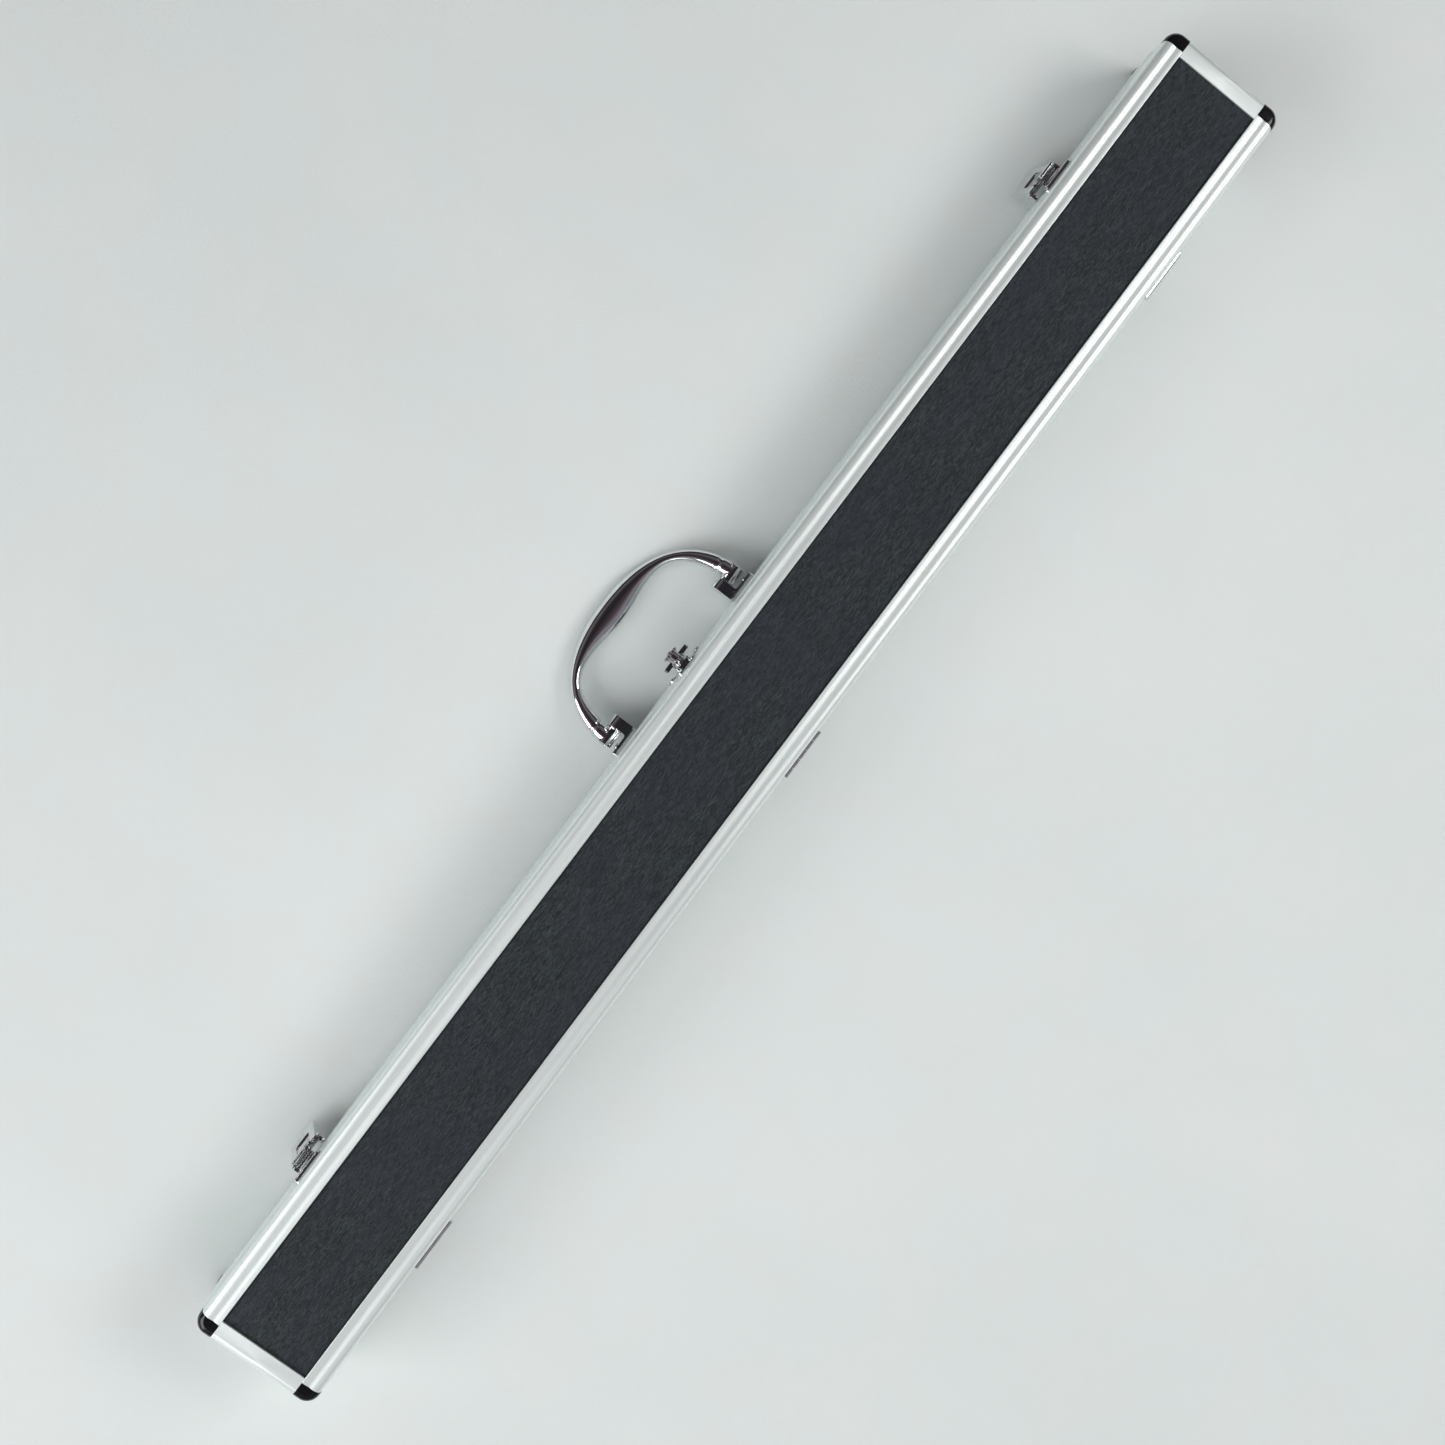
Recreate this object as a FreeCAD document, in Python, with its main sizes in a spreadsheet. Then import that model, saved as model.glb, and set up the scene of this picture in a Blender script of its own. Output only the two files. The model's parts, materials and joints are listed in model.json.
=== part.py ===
"""Aluminium-framed case for a two-piece cue: two hinged halves, two toggle latches,
a turning lock and a bow handle.

Frame: millimetres, +Z up, X along the case, -Y the front with the handle and latches, +Y the
hinged back. The origin is the middle of the plane that the closed case rests on.
"""
import FreeCAD, Part
import math
import os
import re
import Sketcher

# Driving dimensions in millimetres. Every name has an underscore, which is how expressions
# find them in the sheet.
DIMENSIONS = {
    # case
    "case_length": 820,
    "case_width": 72,
    "case_height": 56,
    "parting_height": 28,
    "parting_gap": 0.15,
    "wall_thick": 1.4,
    "lip_width": 11,
    "edge_round": 4.5,
    "inner_round": 2.6,
    "corner_round": 7,
    "bead_proud": 0.5,
    "bead_tall": 1.6,
    "groove_wide": 1.6,
    "groove_deep": 0.3,
    "groove_inset": 3,
    "ledge_reach": 6.5,
    "ledge_thick": 1,
    "tongue_tall": 3,
    "tongue_thick": 1.2,
    "tongue_gap": 0.3,
    "tongue_root": 7,
    # corner caps
    "cap_along": 8.5,
    "cap_across": 11,
    "cap_deep": 7,
    # panels and lining
    "board_inset": 4.8,
    "board_thick": 2.5,
    "board_round": 3,
    "cover_thick": 0.6,
    "foam_side_inset": 4.1,
    "foam_end_inset": 3.2,
    "foam_gap": 0.25,
    "foam_seam": 0.05,
    "foam_floor": 1.5,
    "butt_strip": 10.3,
    "shaft_strip": 7.9,
    "channel_length": 768,
    "butt_radius": 15,
    "butt_offset": 13.4,
    "shaft_radius": 11.5,
    "shaft_offset": 17.2,
    # latches and outer hinges, from the middle of the case
    "latch_station": 317,
    # how far a cutting shape runs past what it cuts
    "cut_past": 1,
    # hinges
    "hinge_width": 30,
    "hinge_axis_out": 3.2,
    "knuckle_radius": 2.3,
    "knuckle_gap": 0.3,
    "hinge_pin_radius": 1,
    "leaf_thick": 0.9,
    "leaf_start": 2.2,
    "leaf_end": 11.5,
    "leaf_round": 1.5,
    "leaf_rivet_spread": 10,
    "leaf_rivet_rise": 7.9,
    "knuckle_clear": 0.2,
    "knuckle_inset": 0.3,
    "running_gap": 0.05,
    # rivets
    "rivet_radius": 1,
    "rivet_head": 1.8,
    "rivet_tall": 0.8,
    # handle and its brackets
    "bracket_inner": 42,
    "bracket_outer": 60,
    "bracket_low": 5,
    "bracket_high": 20,
    "bracket_thick": 3.2,
    "bracket_rivet_side": 55.4,
    "bracket_rivet_inset": 3.6,
    "post_thick": 6,
    "post_out": 14.5,
    "post_round": 4.5,
    "handle_pivot_out": 9.5,
    "handle_pivot_up": 12.5,
    "handle_pin_radius": 2,
    "handle_half_width": 59.2,
    "handle_reach": 46.1,
    "handle_leg": 9.2,
    "handle_neck": 5.8,
    "handle_grip": 14.6,
    "handle_thin": 7.4,
    "handle_thick": 10.4,
    "handle_eye": 4.4,
    "handle_eye_inset": 0.6,
    "handle_side_gap": 0.4,
    "handle_droop": 10.5,
    # latches
    "latch_half": 11,
    "plate_thick": 1,
    "plate_low": 8,
    "plate_high": 25.8,
    "plate_rivet_spread": 4.95,
    "plate_rivet_up": 11.2,
    "ear_thick": 1.2,
    "ear_out": 6.4,
    "ear_low": 19.5,
    "ear_high": 26.8,
    "ear_low_round": 1.6,
    "ear_high_round": 2.4,
    "lever_pivot_out": 4.6,
    "lever_pivot_up": 23.5,
    "lever_pin_radius": 1,
    "lever_half": 9.4,
    "lever_wall": 1.2,
    "lever_back_out": 2.4,
    "lever_back_low": 20.5,
    "lever_back_high": 24.6,
    "lever_top_back": 4.2,
    "lever_top_front": 6.8,
    "lever_top_up": 26.2,
    "lever_toe_tall": 1.2,
    "lever_toe_thick": 2.4,
    "lever_hollow_rise": 1.4,
    "lever_hollow_lean": 0.4,
    "lever_toe_out": 11.4,
    "lever_toe_up": 7,
    "slot_half": 5.3,
    "slot_low": 14,
    "claw_half": 4.8,
    "claw_pivot_out": 6,
    "claw_pivot_up": 17.5,
    "claw_pin_radius": 0.8,
    "claw_eye": 1.7,
    "claw_thick": 1.2,
    "claw_top": 38,
    "keeper_low": 30.2,
    "keeper_high": 44,
    "keeper_round": 2.5,
    "keeper_rivet_spread": 7.5,
    "keeper_rivet_up": 41,
    "lug_out": 5.6,
    "lug_low": 33.5,
    "lug_lip": 37,
    "lug_floor": 1.5,
    "lug_thick": 1.2,
    "lug_round": 1.4,
    # lock
    "lock_half": 13.5,
    "lock_up": 21.2,
    "lock_plate_half": 4.4,
    "lock_plate_thick": 1.2,
    "lock_plate_round": 4,
    "lock_rivet_spread": 10.4,
    "housing_half": 5,
    "housing_out": 3.1,
    "spindle_radius": 2.5,
    "spindle_clear": 0.2,
    "cam_half": 2.2,
    "cam_start": 3.4,
    "cam_end": 4.6,
    "cam_reach": 11,
    "knob_radius": 4.6,
    "knob_out": 11.4,
    "knob_round": 0.8,
    "wing_half": 9.2,
    "wing_thick": 1.5,
    "wing_start": 5.2,
    "wing_end": 7.6,
    "wing_round": 1.4,
    "key_slot_wide": 1.2,
    "key_slot_long": 5.6,
    "key_slot_deep": 1,
    "strike_half": 7,
    "strike_high": 38.4,
    "strike_round": 2,
    "strike_rivet_spread": 4.9,
    "strike_rivet_up": 35.8,
    "catch_half": 3.5,
    "catch_out": 3,
    "catch_high": 32.4,
}

HANDLE_SECTIONS = 15
OUTLINE_POWER = 2.2  # a little squarer than an ellipse

doc = FreeCAD.newDocument("cue_case")
sheet = doc.addObject("Spreadsheet::Sheet", "dim")
pieces = []


def fill_sheet():
    """Write each dimension into the sheet with its alias."""
    for row, (name, number) in enumerate(DIMENSIONS.items(), start=1):
        sheet.set(f"A{row}", name)
        sheet.set(f"B{row}", str(number))
        sheet.setAlias(f"B{row}", name)
    doc.recompute()


def linked(text):
    """Point every dimension name in an expression at the sheet."""
    return re.sub(r"\b([a-z]+(?:_[a-z]+)+)\b", r"dim.\1", str(text))


def bind(thing, prop, text):
    """Bind a property to an expression in the sheet's dimensions."""
    thing.setExpression(prop, linked(text))


def value(text):
    """The number that an expression gives now."""
    return float(sheet.evalExpression(linked(text)))


def span(sign, low, high):
    """A range measured outwards from zero, on the side that the sign says."""
    if sign > 0:
        return low, high
    return f"-({high})", f"-({low})"


def around(middle, half):
    """A range of equal reach both sides of a middle."""
    return f"({middle}) - ({half})", f"({middle}) + ({half})"


def front(low, high):
    """A Y range from its distances in front of the front wall."""
    return f"-case_width / 2 - ({high})", f"-case_width / 2 - ({low})"


def out(distance):
    """The Y of a point that far in front of the front wall."""
    return f"-case_width / 2 - ({distance})"


class Piece:
    """One piece of the case: a body made of blocks, rods, padded outlines and fillets."""

    def __init__(self, label, several=False):
        self.body = doc.addObject("PartDesign::Body", label)
        self.body.Label = label
        self.body.AllowCompound = several
        pieces.append(self.body)

    def add(self, kind, cut=False):
        """A new primitive of the body, added or cut."""
        word = "Subtractive" if cut else "Additive"
        return self.body.newObject(f"PartDesign::{word}{kind}", kind)

    def box(self, x, y, z, cut=False):
        """A block between the low and high expressions of each axis."""
        block = self.add("Box", cut)
        for side, axis, (low, high) in zip(("Length", "Width", "Height"), "xyz", (x, y, z)):
            bind(block, side, f"({high}) - ({low})")
            bind(block, ".Placement.Base." + axis, low)
        doc.recompute()
        return self

    def rod(self, axis, ends, across, radius, cut=False, tip=None):
        """A round rod along an axis, or a cone if it has a tip radius."""
        rod = self.add("Cylinder" if tip is None else "Cone", cut)
        turns = {"x": ((0, 1, 0), 90), "y": ((1, 0, 0), -90), "z": ((0, 0, 1), 0)}
        way, angle = turns[axis]
        rod.Placement = FreeCAD.Placement(
            FreeCAD.Vector(), FreeCAD.Rotation(FreeCAD.Vector(*way), angle))
        places = dict(zip([other for other in "xyz" if other != axis], across))
        places[axis] = ends[0]
        for other, text in places.items():
            bind(rod, ".Placement.Base." + other, text)
        bind(rod, "Height", f"({ends[1]}) - ({ends[0]})")
        if tip is None:
            bind(rod, "Radius", radius)
        else:
            bind(rod, "Radius1", radius)
            bind(rod, "Radius2", tip)
        doc.recompute()
        return self

    def pad(self, plane, points, length, cut=False):
        """An outline on an origin plane, padded or pocketed equally to both sides."""
        sketch = self.body.newObject("Sketcher::SketchObject", "Outline")
        base = [o for o in self.body.Origin.OriginFeatures if o.Role == plane][0]
        sketch.AttachmentSupport = [(base, "")]
        sketch.MapMode = "FlatFace"
        corners = [FreeCAD.Vector(value(a), value(b), 0) for a, b in points]
        count = len(corners)
        for index, corner in enumerate(corners):
            sketch.addGeometry(Part.LineSegment(corner, corners[(index + 1) % count]))
        for index in range(count):
            sketch.addConstraint(
                Sketcher.Constraint("Coincident", index, 2, (index + 1) % count, 1))
        for index, (point, corner) in enumerate(zip(points, corners)):
            for kind, text, number in zip(("DistanceX", "DistanceY"), point, corner):
                place = sketch.addConstraint(Sketcher.Constraint(kind, index, 1, number))
                sketch.setExpression(f"Constraints[{place}]", linked(text))
        feature = self.body.newObject("PartDesign::Pocket" if cut else "PartDesign::Pad", "Pad")
        feature.Profile = sketch
        feature.Midplane = True
        bind(feature, "Length", length)
        doc.recompute()
        return self

    def edges_near(self, places):
        """Names of the body's edges nearest to some points."""
        shape = self.body.Shape
        names = []
        for place in places:
            point = Part.Vertex(*[value(text) for text in place])
            far = [edge.distToShape(point)[0] for edge in shape.Edges]
            names.append(f"Edge{far.index(min(far)) + 1}")
        return names

    def fillet(self, radius, *places):
        """Round the edges nearest to some points."""
        names = self.edges_near(places)
        tip = self.body.Tip
        round_off = self.body.newObject("PartDesign::Fillet", "Fillet")
        round_off.Base = (tip, names)
        bind(round_off, "Radius", radius)
        doc.recompute()
        return self

    def hollow(self, thickness, *places):
        """Turn the solid into a shell that is open at the faces nearest to some points."""
        shape = self.body.Shape
        names = []
        for place in places:
            point = Part.Vertex(*[value(text) for text in place])
            far = [face.distToShape(point)[0] for face in shape.Faces]
            names.append(f"Face{far.index(min(far)) + 1}")
        tip = self.body.Tip
        shell = self.body.newObject("PartDesign::Thickness", "Shell")
        shell.Base = (tip, names)
        shell.Reversed = True
        bind(shell, "Value", thickness)
        doc.recompute()
        return self


class Half:
    """Heights in one half of the case, counted from its outer face towards the parting plane."""

    def __init__(self, name):
        self.name = name
        self.upper = name == "lid"

    def level(self, depth):
        """The Z of a level that lies this deep under the half's outer face."""
        return f"case_height - ({depth})" if self.upper else f"{depth}"

    def above(self, rise):
        """The Z of a level that lies this far from the parting plane, into this half."""
        sign = "+" if self.upper else "-"
        return f"parting_height {sign} ({rise})"

    def between(self, low, high):
        """A Z range from two levels, in rising order."""
        return (low, high) if value(low) < value(high) else (high, low)


HALVES = (Half("base"), Half("lid"))


def rail_outline(half, side, half_size):
    """Outline of a rail: an L of wall and lip with a bead at the parting edge, a ledge that
    holds the panel board and, on the base, the tongue that enters the lid."""
    def place(inset):
        return f"{side} * (({half_size}) - ({inset}))"

    edge = half.above("parting_gap")
    points = [
        (place("-bead_proud"), edge),
        (place("-bead_proud"), half.above("parting_gap + bead_tall")),
        (place("0"), half.above("parting_gap + bead_tall + bead_proud")),
        (place("0"), half.level("0")),
        (place("lip_width - groove_inset - groove_wide"), half.level("0")),
        (place("lip_width - groove_inset - groove_wide / 2"), half.level("groove_deep")),
        (place("lip_width - groove_inset"), half.level("0")),
        (place("lip_width"), half.level("0")),
        (place("lip_width"), half.level("wall_thick")),
        (place("wall_thick"), half.level("wall_thick")),
        (place("wall_thick"), half.level("wall_thick + cover_thick + board_thick")),
        (place("ledge_reach"), half.level("wall_thick + cover_thick + board_thick")),
        (place("ledge_reach"), half.level("wall_thick + cover_thick + board_thick + ledge_thick")),
        (place("wall_thick"), half.level("wall_thick + cover_thick + board_thick + ledge_thick")),
    ]
    if half.upper:
        points.append((place("wall_thick"), edge))
    else:
        points += [
            (place("wall_thick"), half.above("tongue_root")),
            (place("wall_thick + tongue_gap + tongue_thick"), half.above("tongue_root")),
            (place("wall_thick + tongue_gap + tongue_thick"), half.above("-tongue_tall")),
            (place("wall_thick + tongue_gap"), half.above("-tongue_tall")),
            (place("wall_thick + tongue_gap"), edge),
        ]
    return points


def rail_rivets(half, side):
    """Places of the rivet holes in a long rail: along the case, and height."""
    places = []
    if side > 0:
        for station in ("latch_station", "0", "-latch_station"):
            for offset in ("-leaf_rivet_spread", "leaf_rivet_spread"):
                places.append((f"{station} + {offset}", half.above("leaf_rivet_rise")))
    elif half.upper:
        for station in ("latch_station", "-latch_station"):
            for offset in ("-keeper_rivet_spread", "keeper_rivet_spread"):
                places.append((f"{station} + {offset}", "keeper_rivet_up"))
        for offset in ("-strike_rivet_spread", "strike_rivet_spread"):
            places.append((offset, "strike_rivet_up"))
    else:
        for station in ("latch_station", "-latch_station"):
            for offset in ("-plate_rivet_spread", "plate_rivet_spread"):
                places.append((f"{station} + {offset}", "plate_rivet_up"))
        for offset in ("-lock_rivet_spread", "lock_rivet_spread"):
            places.append((offset, "lock_up"))
        for sign in (-1, 1):
            for height in ("bracket_low + bracket_rivet_inset",
                           "bracket_high - bracket_rivet_inset"):
                places.append((f"{sign} * bracket_rivet_side", height))
    return places


def make_rails(half):
    """The two long rails and the two end rails of one half."""
    shine = half.level("0")
    inner = half.level("wall_thick")
    for side, name in ((-1, "front"), (1, "back")):
        outer = f"{side} * case_width / 2"
        rail = Piece(f"{half.name}_{name}_rail")
        rail.pad("YZ_Plane", rail_outline(half, side, "case_width / 2"),
                 "case_length - 2 * cap_along")
        rail.fillet("edge_round", ("0", outer, shine))
        rail.fillet("inner_round",
                    ("0", f"{side} * (case_width / 2 - wall_thick)", inner))
        through = span(side, "case_width / 2 - wall_thick - tongue_gap - tongue_thick - cut_past",
                       "case_width / 2 + cut_past")
        for x, z in rail_rivets(half, side):
            rail.rod("y", through, (x, z), "rivet_radius", cut=True)
    for side, name in ((-1, "right"), (1, "left")):
        outer = f"{side} * case_length / 2"
        rail = Piece(f"{half.name}_{name}_rail")
        rail.pad("XZ_Plane", rail_outline(half, side, "case_length / 2"),
                 "case_width - 2 * cap_across")
        rail.fillet("edge_round", (outer, "0", shine))
        rail.fillet("inner_round",
                    (f"{side} * (case_length / 2 - wall_thick)", "0", inner))


def make_corners(half):
    """Four corner posts, one group, and the four plastic caps that close their ends."""
    posts = Piece(f"{half.name}_corner_posts", several=True)
    names = {(1, -1): "front_left", (-1, -1): "front_right", (1, 1): "back_left", (-1, 1): "back_right"}
    rise = half.between(half.above("parting_gap"), half.level("cap_deep"))
    bead = half.between(half.above("parting_gap"), half.above("parting_gap + bead_tall"))
    middle = f"(({rise[0]}) + ({rise[1]})) / 2"
    bead_middle = half.above("parting_gap + bead_tall / 2")
    for (along, across), name in names.items():
        x_start, y_start = "case_length / 2 - cap_along", "case_width / 2 - cap_across"
        x_centre = "case_length / 2 - corner_round"
        y_centre = "case_width / 2 - corner_round"
        posts.box(span(along, x_start, "case_length / 2"),
                  span(across, y_start, "case_width / 2"), rise)
        posts.fillet("corner_round",
                     (f"{along} * case_length / 2", f"{across} * case_width / 2", middle))
        posts.box(span(along, x_start, "case_length / 2 + bead_proud"),
                  span(across, y_start, "case_width / 2 + bead_proud"), bead)
        posts.fillet("corner_round + bead_proud",
                     (f"{along} * (case_length / 2 + bead_proud)",
                      f"{across} * (case_width / 2 + bead_proud)", bead_middle))
        tall = half.between(half.above("parting_gap - cut_past"),
                            half.level("cap_deep - cut_past"))
        posts.box(span(along, f"{x_start} - cut_past", x_centre),
                  span(across, f"{y_start} - cut_past", "case_width / 2 - wall_thick"),
                  tall, cut=True)
        posts.box(span(along, f"{x_start} - cut_past", "case_length / 2 - wall_thick"),
                  span(across, f"{y_start} - cut_past", y_centre), tall, cut=True)
        posts.rod("z", tall, (f"{along} * ({x_centre})", f"{across} * ({y_centre})"),
                  "corner_round - wall_thick", cut=True)

        cap = Piece(f"{half.name}_cap_{name}")
        cap.box(span(along, x_start, "case_length / 2"), span(across, y_start, "case_width / 2"),
                half.between(half.level("0"), half.level("cap_deep")))
        cap_middle = half.level("cap_deep / 2")
        cap.fillet("corner_round",
                   (f"{along} * case_length / 2", f"{across} * case_width / 2", cap_middle))
        cap.fillet("edge_round",
                   (f"{along} * case_length / 2", f"{across} * ({y_start} + wall_thick)",
                    half.level("0")))
        cap.hollow("wall_thick",
                   (f"{along} * ({x_centre})", f"{across} * ({y_centre})", half.level("cap_deep")),
                   (f"{along} * ({x_start})", f"{across} * ({y_centre})", cap_middle),
                   (f"{along} * ({x_centre})", f"{across} * ({y_start})", cap_middle))


def make_panel(half):
    """Panel board under its grained cover."""
    x_half = "case_length / 2 - board_inset"
    y_half = "case_width / 2 - board_inset"
    corners = [(f"{along} * ({x_half})", f"{across} * ({y_half})")
               for along in (-1, 1) for across in (-1, 1)]
    layers = (("board", "wall_thick + cover_thick", "wall_thick + cover_thick + board_thick"),
              ("cover", "wall_thick", "wall_thick + cover_thick"))
    for name, shallow, deep in layers:
        panel = Piece(f"{half.name}_panel_{name}")
        panel.box(around("0", x_half), around("0", y_half),
                  half.between(half.level(shallow), half.level(deep)))
        middle = half.level(f"(({shallow}) + ({deep})) / 2")
        panel.fillet("board_round", *[(x, y, middle) for x, y in corners])



def make_foam(half):
    """The foam insert: a floor, five strips that form the two cue channels, and two end blocks,
    a thin glue seam apart."""
    foam = Piece(f"{half.name}_foam", several=True)
    inner = half.level("wall_thick + cover_thick + board_thick + ledge_thick")
    x_half, y_half = "case_length / 2 - foam_end_inset", "case_width / 2 - foam_side_inset"
    floor_rise = "butt_radius + foam_floor"
    foam.box(around("0", x_half), around("0", y_half), half.between(inner, half.above(floor_rise)))
    height = half.between(half.above(f"{floor_rise} - foam_seam"), half.above("foam_gap"))
    seams = (f"-({y_half})", "-butt_offset - butt_strip", "-butt_offset + butt_strip",
             "shaft_offset - shaft_strip", "shaft_offset + shaft_strip", y_half)
    for low, high in zip(seams, seams[1:]):
        foam.box(around("0", "channel_length / 2"), (f"{low} + foam_seam / 2",
                                                     f"{high} - foam_seam / 2"), height)
    for side in (-1, 1):
        foam.box(span(side, "channel_length / 2 + foam_seam", x_half), around("0", y_half), height)
    ends = around("0", "channel_length / 2")
    foam.rod("x", ends, ("-butt_offset", "parting_height"), "butt_radius", cut=True)
    foam.rod("x", ends, ("shaft_offset", "parting_height"), "shaft_radius", cut=True)


def make_hinge(number, station):
    """A butt hinge on the back: a leaf on each half and the pin, which is fast in the base leaf."""
    axis_y = "case_width / 2 + hinge_axis_out"
    knuckle = "hinge_width / 5"
    own = {"base": (-2, 0, 2), "lid": (-1, 1)}
    for half in HALVES:
        leaf = Piece(f"{half.name}_hinge_leaf_{number}")
        leaf.box(around(station, "hinge_width / 2"),
                 span(1, "case_width / 2", "case_width / 2 + leaf_thick"),
                 half.between(half.above("leaf_start"), half.above("leaf_end")))
        corners = [(f"{station} + {way} * hinge_width / 2", "case_width / 2 + leaf_thick / 2",
                    half.above("leaf_end")) for way in (-1, 1)]
        leaf.fillet("leaf_round", *corners)
        for place in own[half.name]:
            middle = f"{station} + {place} * {knuckle}"
            reach = around(middle, f"{knuckle} / 2 - knuckle_gap / 2")
            leaf.box(reach, span(1, "case_width / 2 + bead_proud + knuckle_clear",
                                 f"{axis_y} - knuckle_inset"),
                     half.between(half.above("0"), half.above("leaf_start + leaf_thick")))
            leaf.rod("x", reach, (axis_y, "parting_height"), "knuckle_radius")
        bore = "hinge_pin_radius" if half.name == "base" else "hinge_pin_radius + running_gap"
        leaf.rod("x", around(station, "hinge_width / 2 + cut_past"), (axis_y, "parting_height"),
                 bore, cut=True)
        for x, z in rail_rivets(half, 1):
            if abs(value(x) - value(station)) < value("hinge_width") / 2:
                leaf.rod("y", ("case_width / 2 - cut_past",
                               "case_width / 2 + leaf_thick + cut_past"),
                         (x, z), "rivet_radius", cut=True)
    pin = Piece(f"hinge_pin_{number}")
    pin.rod("x", around(station, "hinge_width / 2"), (axis_y, "parting_height"),
            "hinge_pin_radius")


def make_rivets(half):
    """All the rivets of one half, one group: a shank through plate and wall, under a low head."""
    rivets = Piece(f"{half.name}_rivets", several=True)
    for x, z in rail_rivets(half, 1):
        rivets.rod("y", ("case_width / 2 - wall_thick", "case_width / 2 + leaf_thick"),
                   (x, z), "rivet_radius")
        rivets.rod("y", ("case_width / 2 + leaf_thick", "case_width / 2 + leaf_thick + rivet_tall"),
                   (x, z), "rivet_head", tip="rivet_head / 2")
    for x, z in rail_rivets(half, -1):
        plate = "plate_thick"
        if abs(value(x)) > value("bracket_inner") and abs(value(x)) < value("bracket_outer"):
            plate = "bracket_thick"
        if abs(value(x)) < value("lock_half") and not half.upper:
            plate = "lock_plate_thick"
        rivets.rod("y", front("-wall_thick", plate), (x, z), "rivet_radius")
        rivets.rod("y", front(plate, f"{plate} + rivet_tall"), (x, z), "rivet_head / 2",
                   tip="rivet_head")


def make_bracket(name, sign):
    """An L-shaped handle bracket: a plate on the wall and a post that holds the pivot pin."""
    height = ("bracket_low", "bracket_high")
    bracket = Piece(f"handle_bracket_{name}")
    bracket.box(span(sign, "bracket_inner", "bracket_outer"), front("0", "bracket_thick"), height)
    bracket.box(span(sign, "bracket_inner", "bracket_inner + post_thick"),
                front("0", "post_out"), height)
    post_middle = f"{sign} * (bracket_inner + post_thick / 2)"
    bracket.fillet("post_round", (post_middle, out("post_out"), "bracket_low"),
                   (post_middle, out("post_out"), "bracket_high"))
    bracket.rod("x", span(sign, "bracket_inner - cut_past",
                          "bracket_inner + post_thick + cut_past"),
                (out("handle_pivot_out"), "handle_pivot_up"), "handle_pin_radius", cut=True)
    for x, z in rail_rivets(HALVES[0], -1):
        if sign * value(x) > value("bracket_inner") and abs(value(x)) < value("bracket_outer"):
            bracket.rod("y", front("-cut_past", "bracket_thick + cut_past"), (x, z),
                        "rivet_radius", cut=True)
    pin = Piece(f"handle_pin_{name}")
    pin.rod("x", span(sign, "bracket_inner", "handle_half_width"),
            (out("handle_pivot_out"), "handle_pivot_up"), "handle_pin_radius")


def smooth_step(part):
    """Rise from 0 to 1 with level ends."""
    part = min(max(part, 0.0), 1.0)
    return (1 - math.cos(math.pi * part)) / 2


def handle_section(turn):
    """One elliptical section of the bow, at an angle from 0, one leg, to 180, the other leg."""
    angle = math.radians(turn)
    cosine, sine = math.cos(angle), math.sin(angle)
    power = 2 / OUTLINE_POWER
    x = value("handle_half_width") * math.copysign(abs(cosine) ** power, cosine)
    reach = value("handle_reach") * sine ** power
    slope_x = math.copysign(abs(cosine) ** (2 - power), cosine) / value("handle_half_width")
    slope_r = sine ** (2 - power) / value("handle_reach")
    size = math.hypot(slope_x, slope_r)
    normal = FreeCAD.Vector(slope_x / size, -slope_r / size, 0)
    rise = min(turn, 180 - turn) / 90
    depth = value("handle_leg")
    depth += (value("handle_neck") - depth) * smooth_step(rise / 0.5)
    depth += (value("handle_grip") - value("handle_neck")) * smooth_step((rise - 0.5) / 0.5)
    thick = value("handle_eye") * 2
    thick += (value("handle_thin") - thick) * smooth_step(rise / 0.5)
    thick += (value("handle_thick") - value("handle_thin")) * smooth_step((rise - 0.5) / 0.5)
    centre = FreeCAD.Vector(x, -reach, 0) - normal * (depth / 2)
    across = normal * (depth / 2)
    to_place = FreeCAD.Matrix(
        across.x, 0, 0, centre.x,
        across.y, 0, 0, centre.y,
        0, thick / 2, 1, 0,
        0, 0, 0, 1)
    return Part.Wire(Part.makeCircle(1).transformGeometry(to_place).Edges)


def make_handle():
    """The bow handle: a lofted bow between two eyes that turn on the bracket pins. It droops
    until the grip lies on the surface that the case stands on."""
    turns = [180 * index / (HANDLE_SECTIONS - 1) for index in range(HANDLE_SECTIONS)]
    solid = Part.makeLoft([handle_section(turn) for turn in turns], True)
    eye_inner = value("bracket_inner + post_thick + handle_side_gap")
    eye_length = value("handle_half_width - handle_eye_inset") - eye_inner
    bore = value("handle_pin_radius + running_gap")
    past = value("cut_past")
    for sign in (-1, 1):
        start = FreeCAD.Vector(sign * eye_inner, 0, 0)
        way = FreeCAD.Vector(sign, 0, 0)
        solid = solid.fuse(Part.makeCylinder(value("handle_eye"), eye_length, start, way))
    for sign in (-1, 1):
        start = FreeCAD.Vector(sign * (eye_inner - past), 0, 0)
        way = FreeCAD.Vector(sign, 0, 0)
        solid = solid.cut(Part.makeCylinder(bore, eye_length + 4 * past, start, way))
    handle = doc.addObject("Part::Feature", "handle")
    handle.Label = "handle"
    handle.Shape = solid
    handle.Placement = FreeCAD.Placement(
        FreeCAD.Vector(0, value(out("handle_pivot_out")), value("handle_pivot_up")),
        FreeCAD.Rotation(FreeCAD.Vector(1, 0, 0), value("handle_droop")))
    pieces.append(handle)


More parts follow.
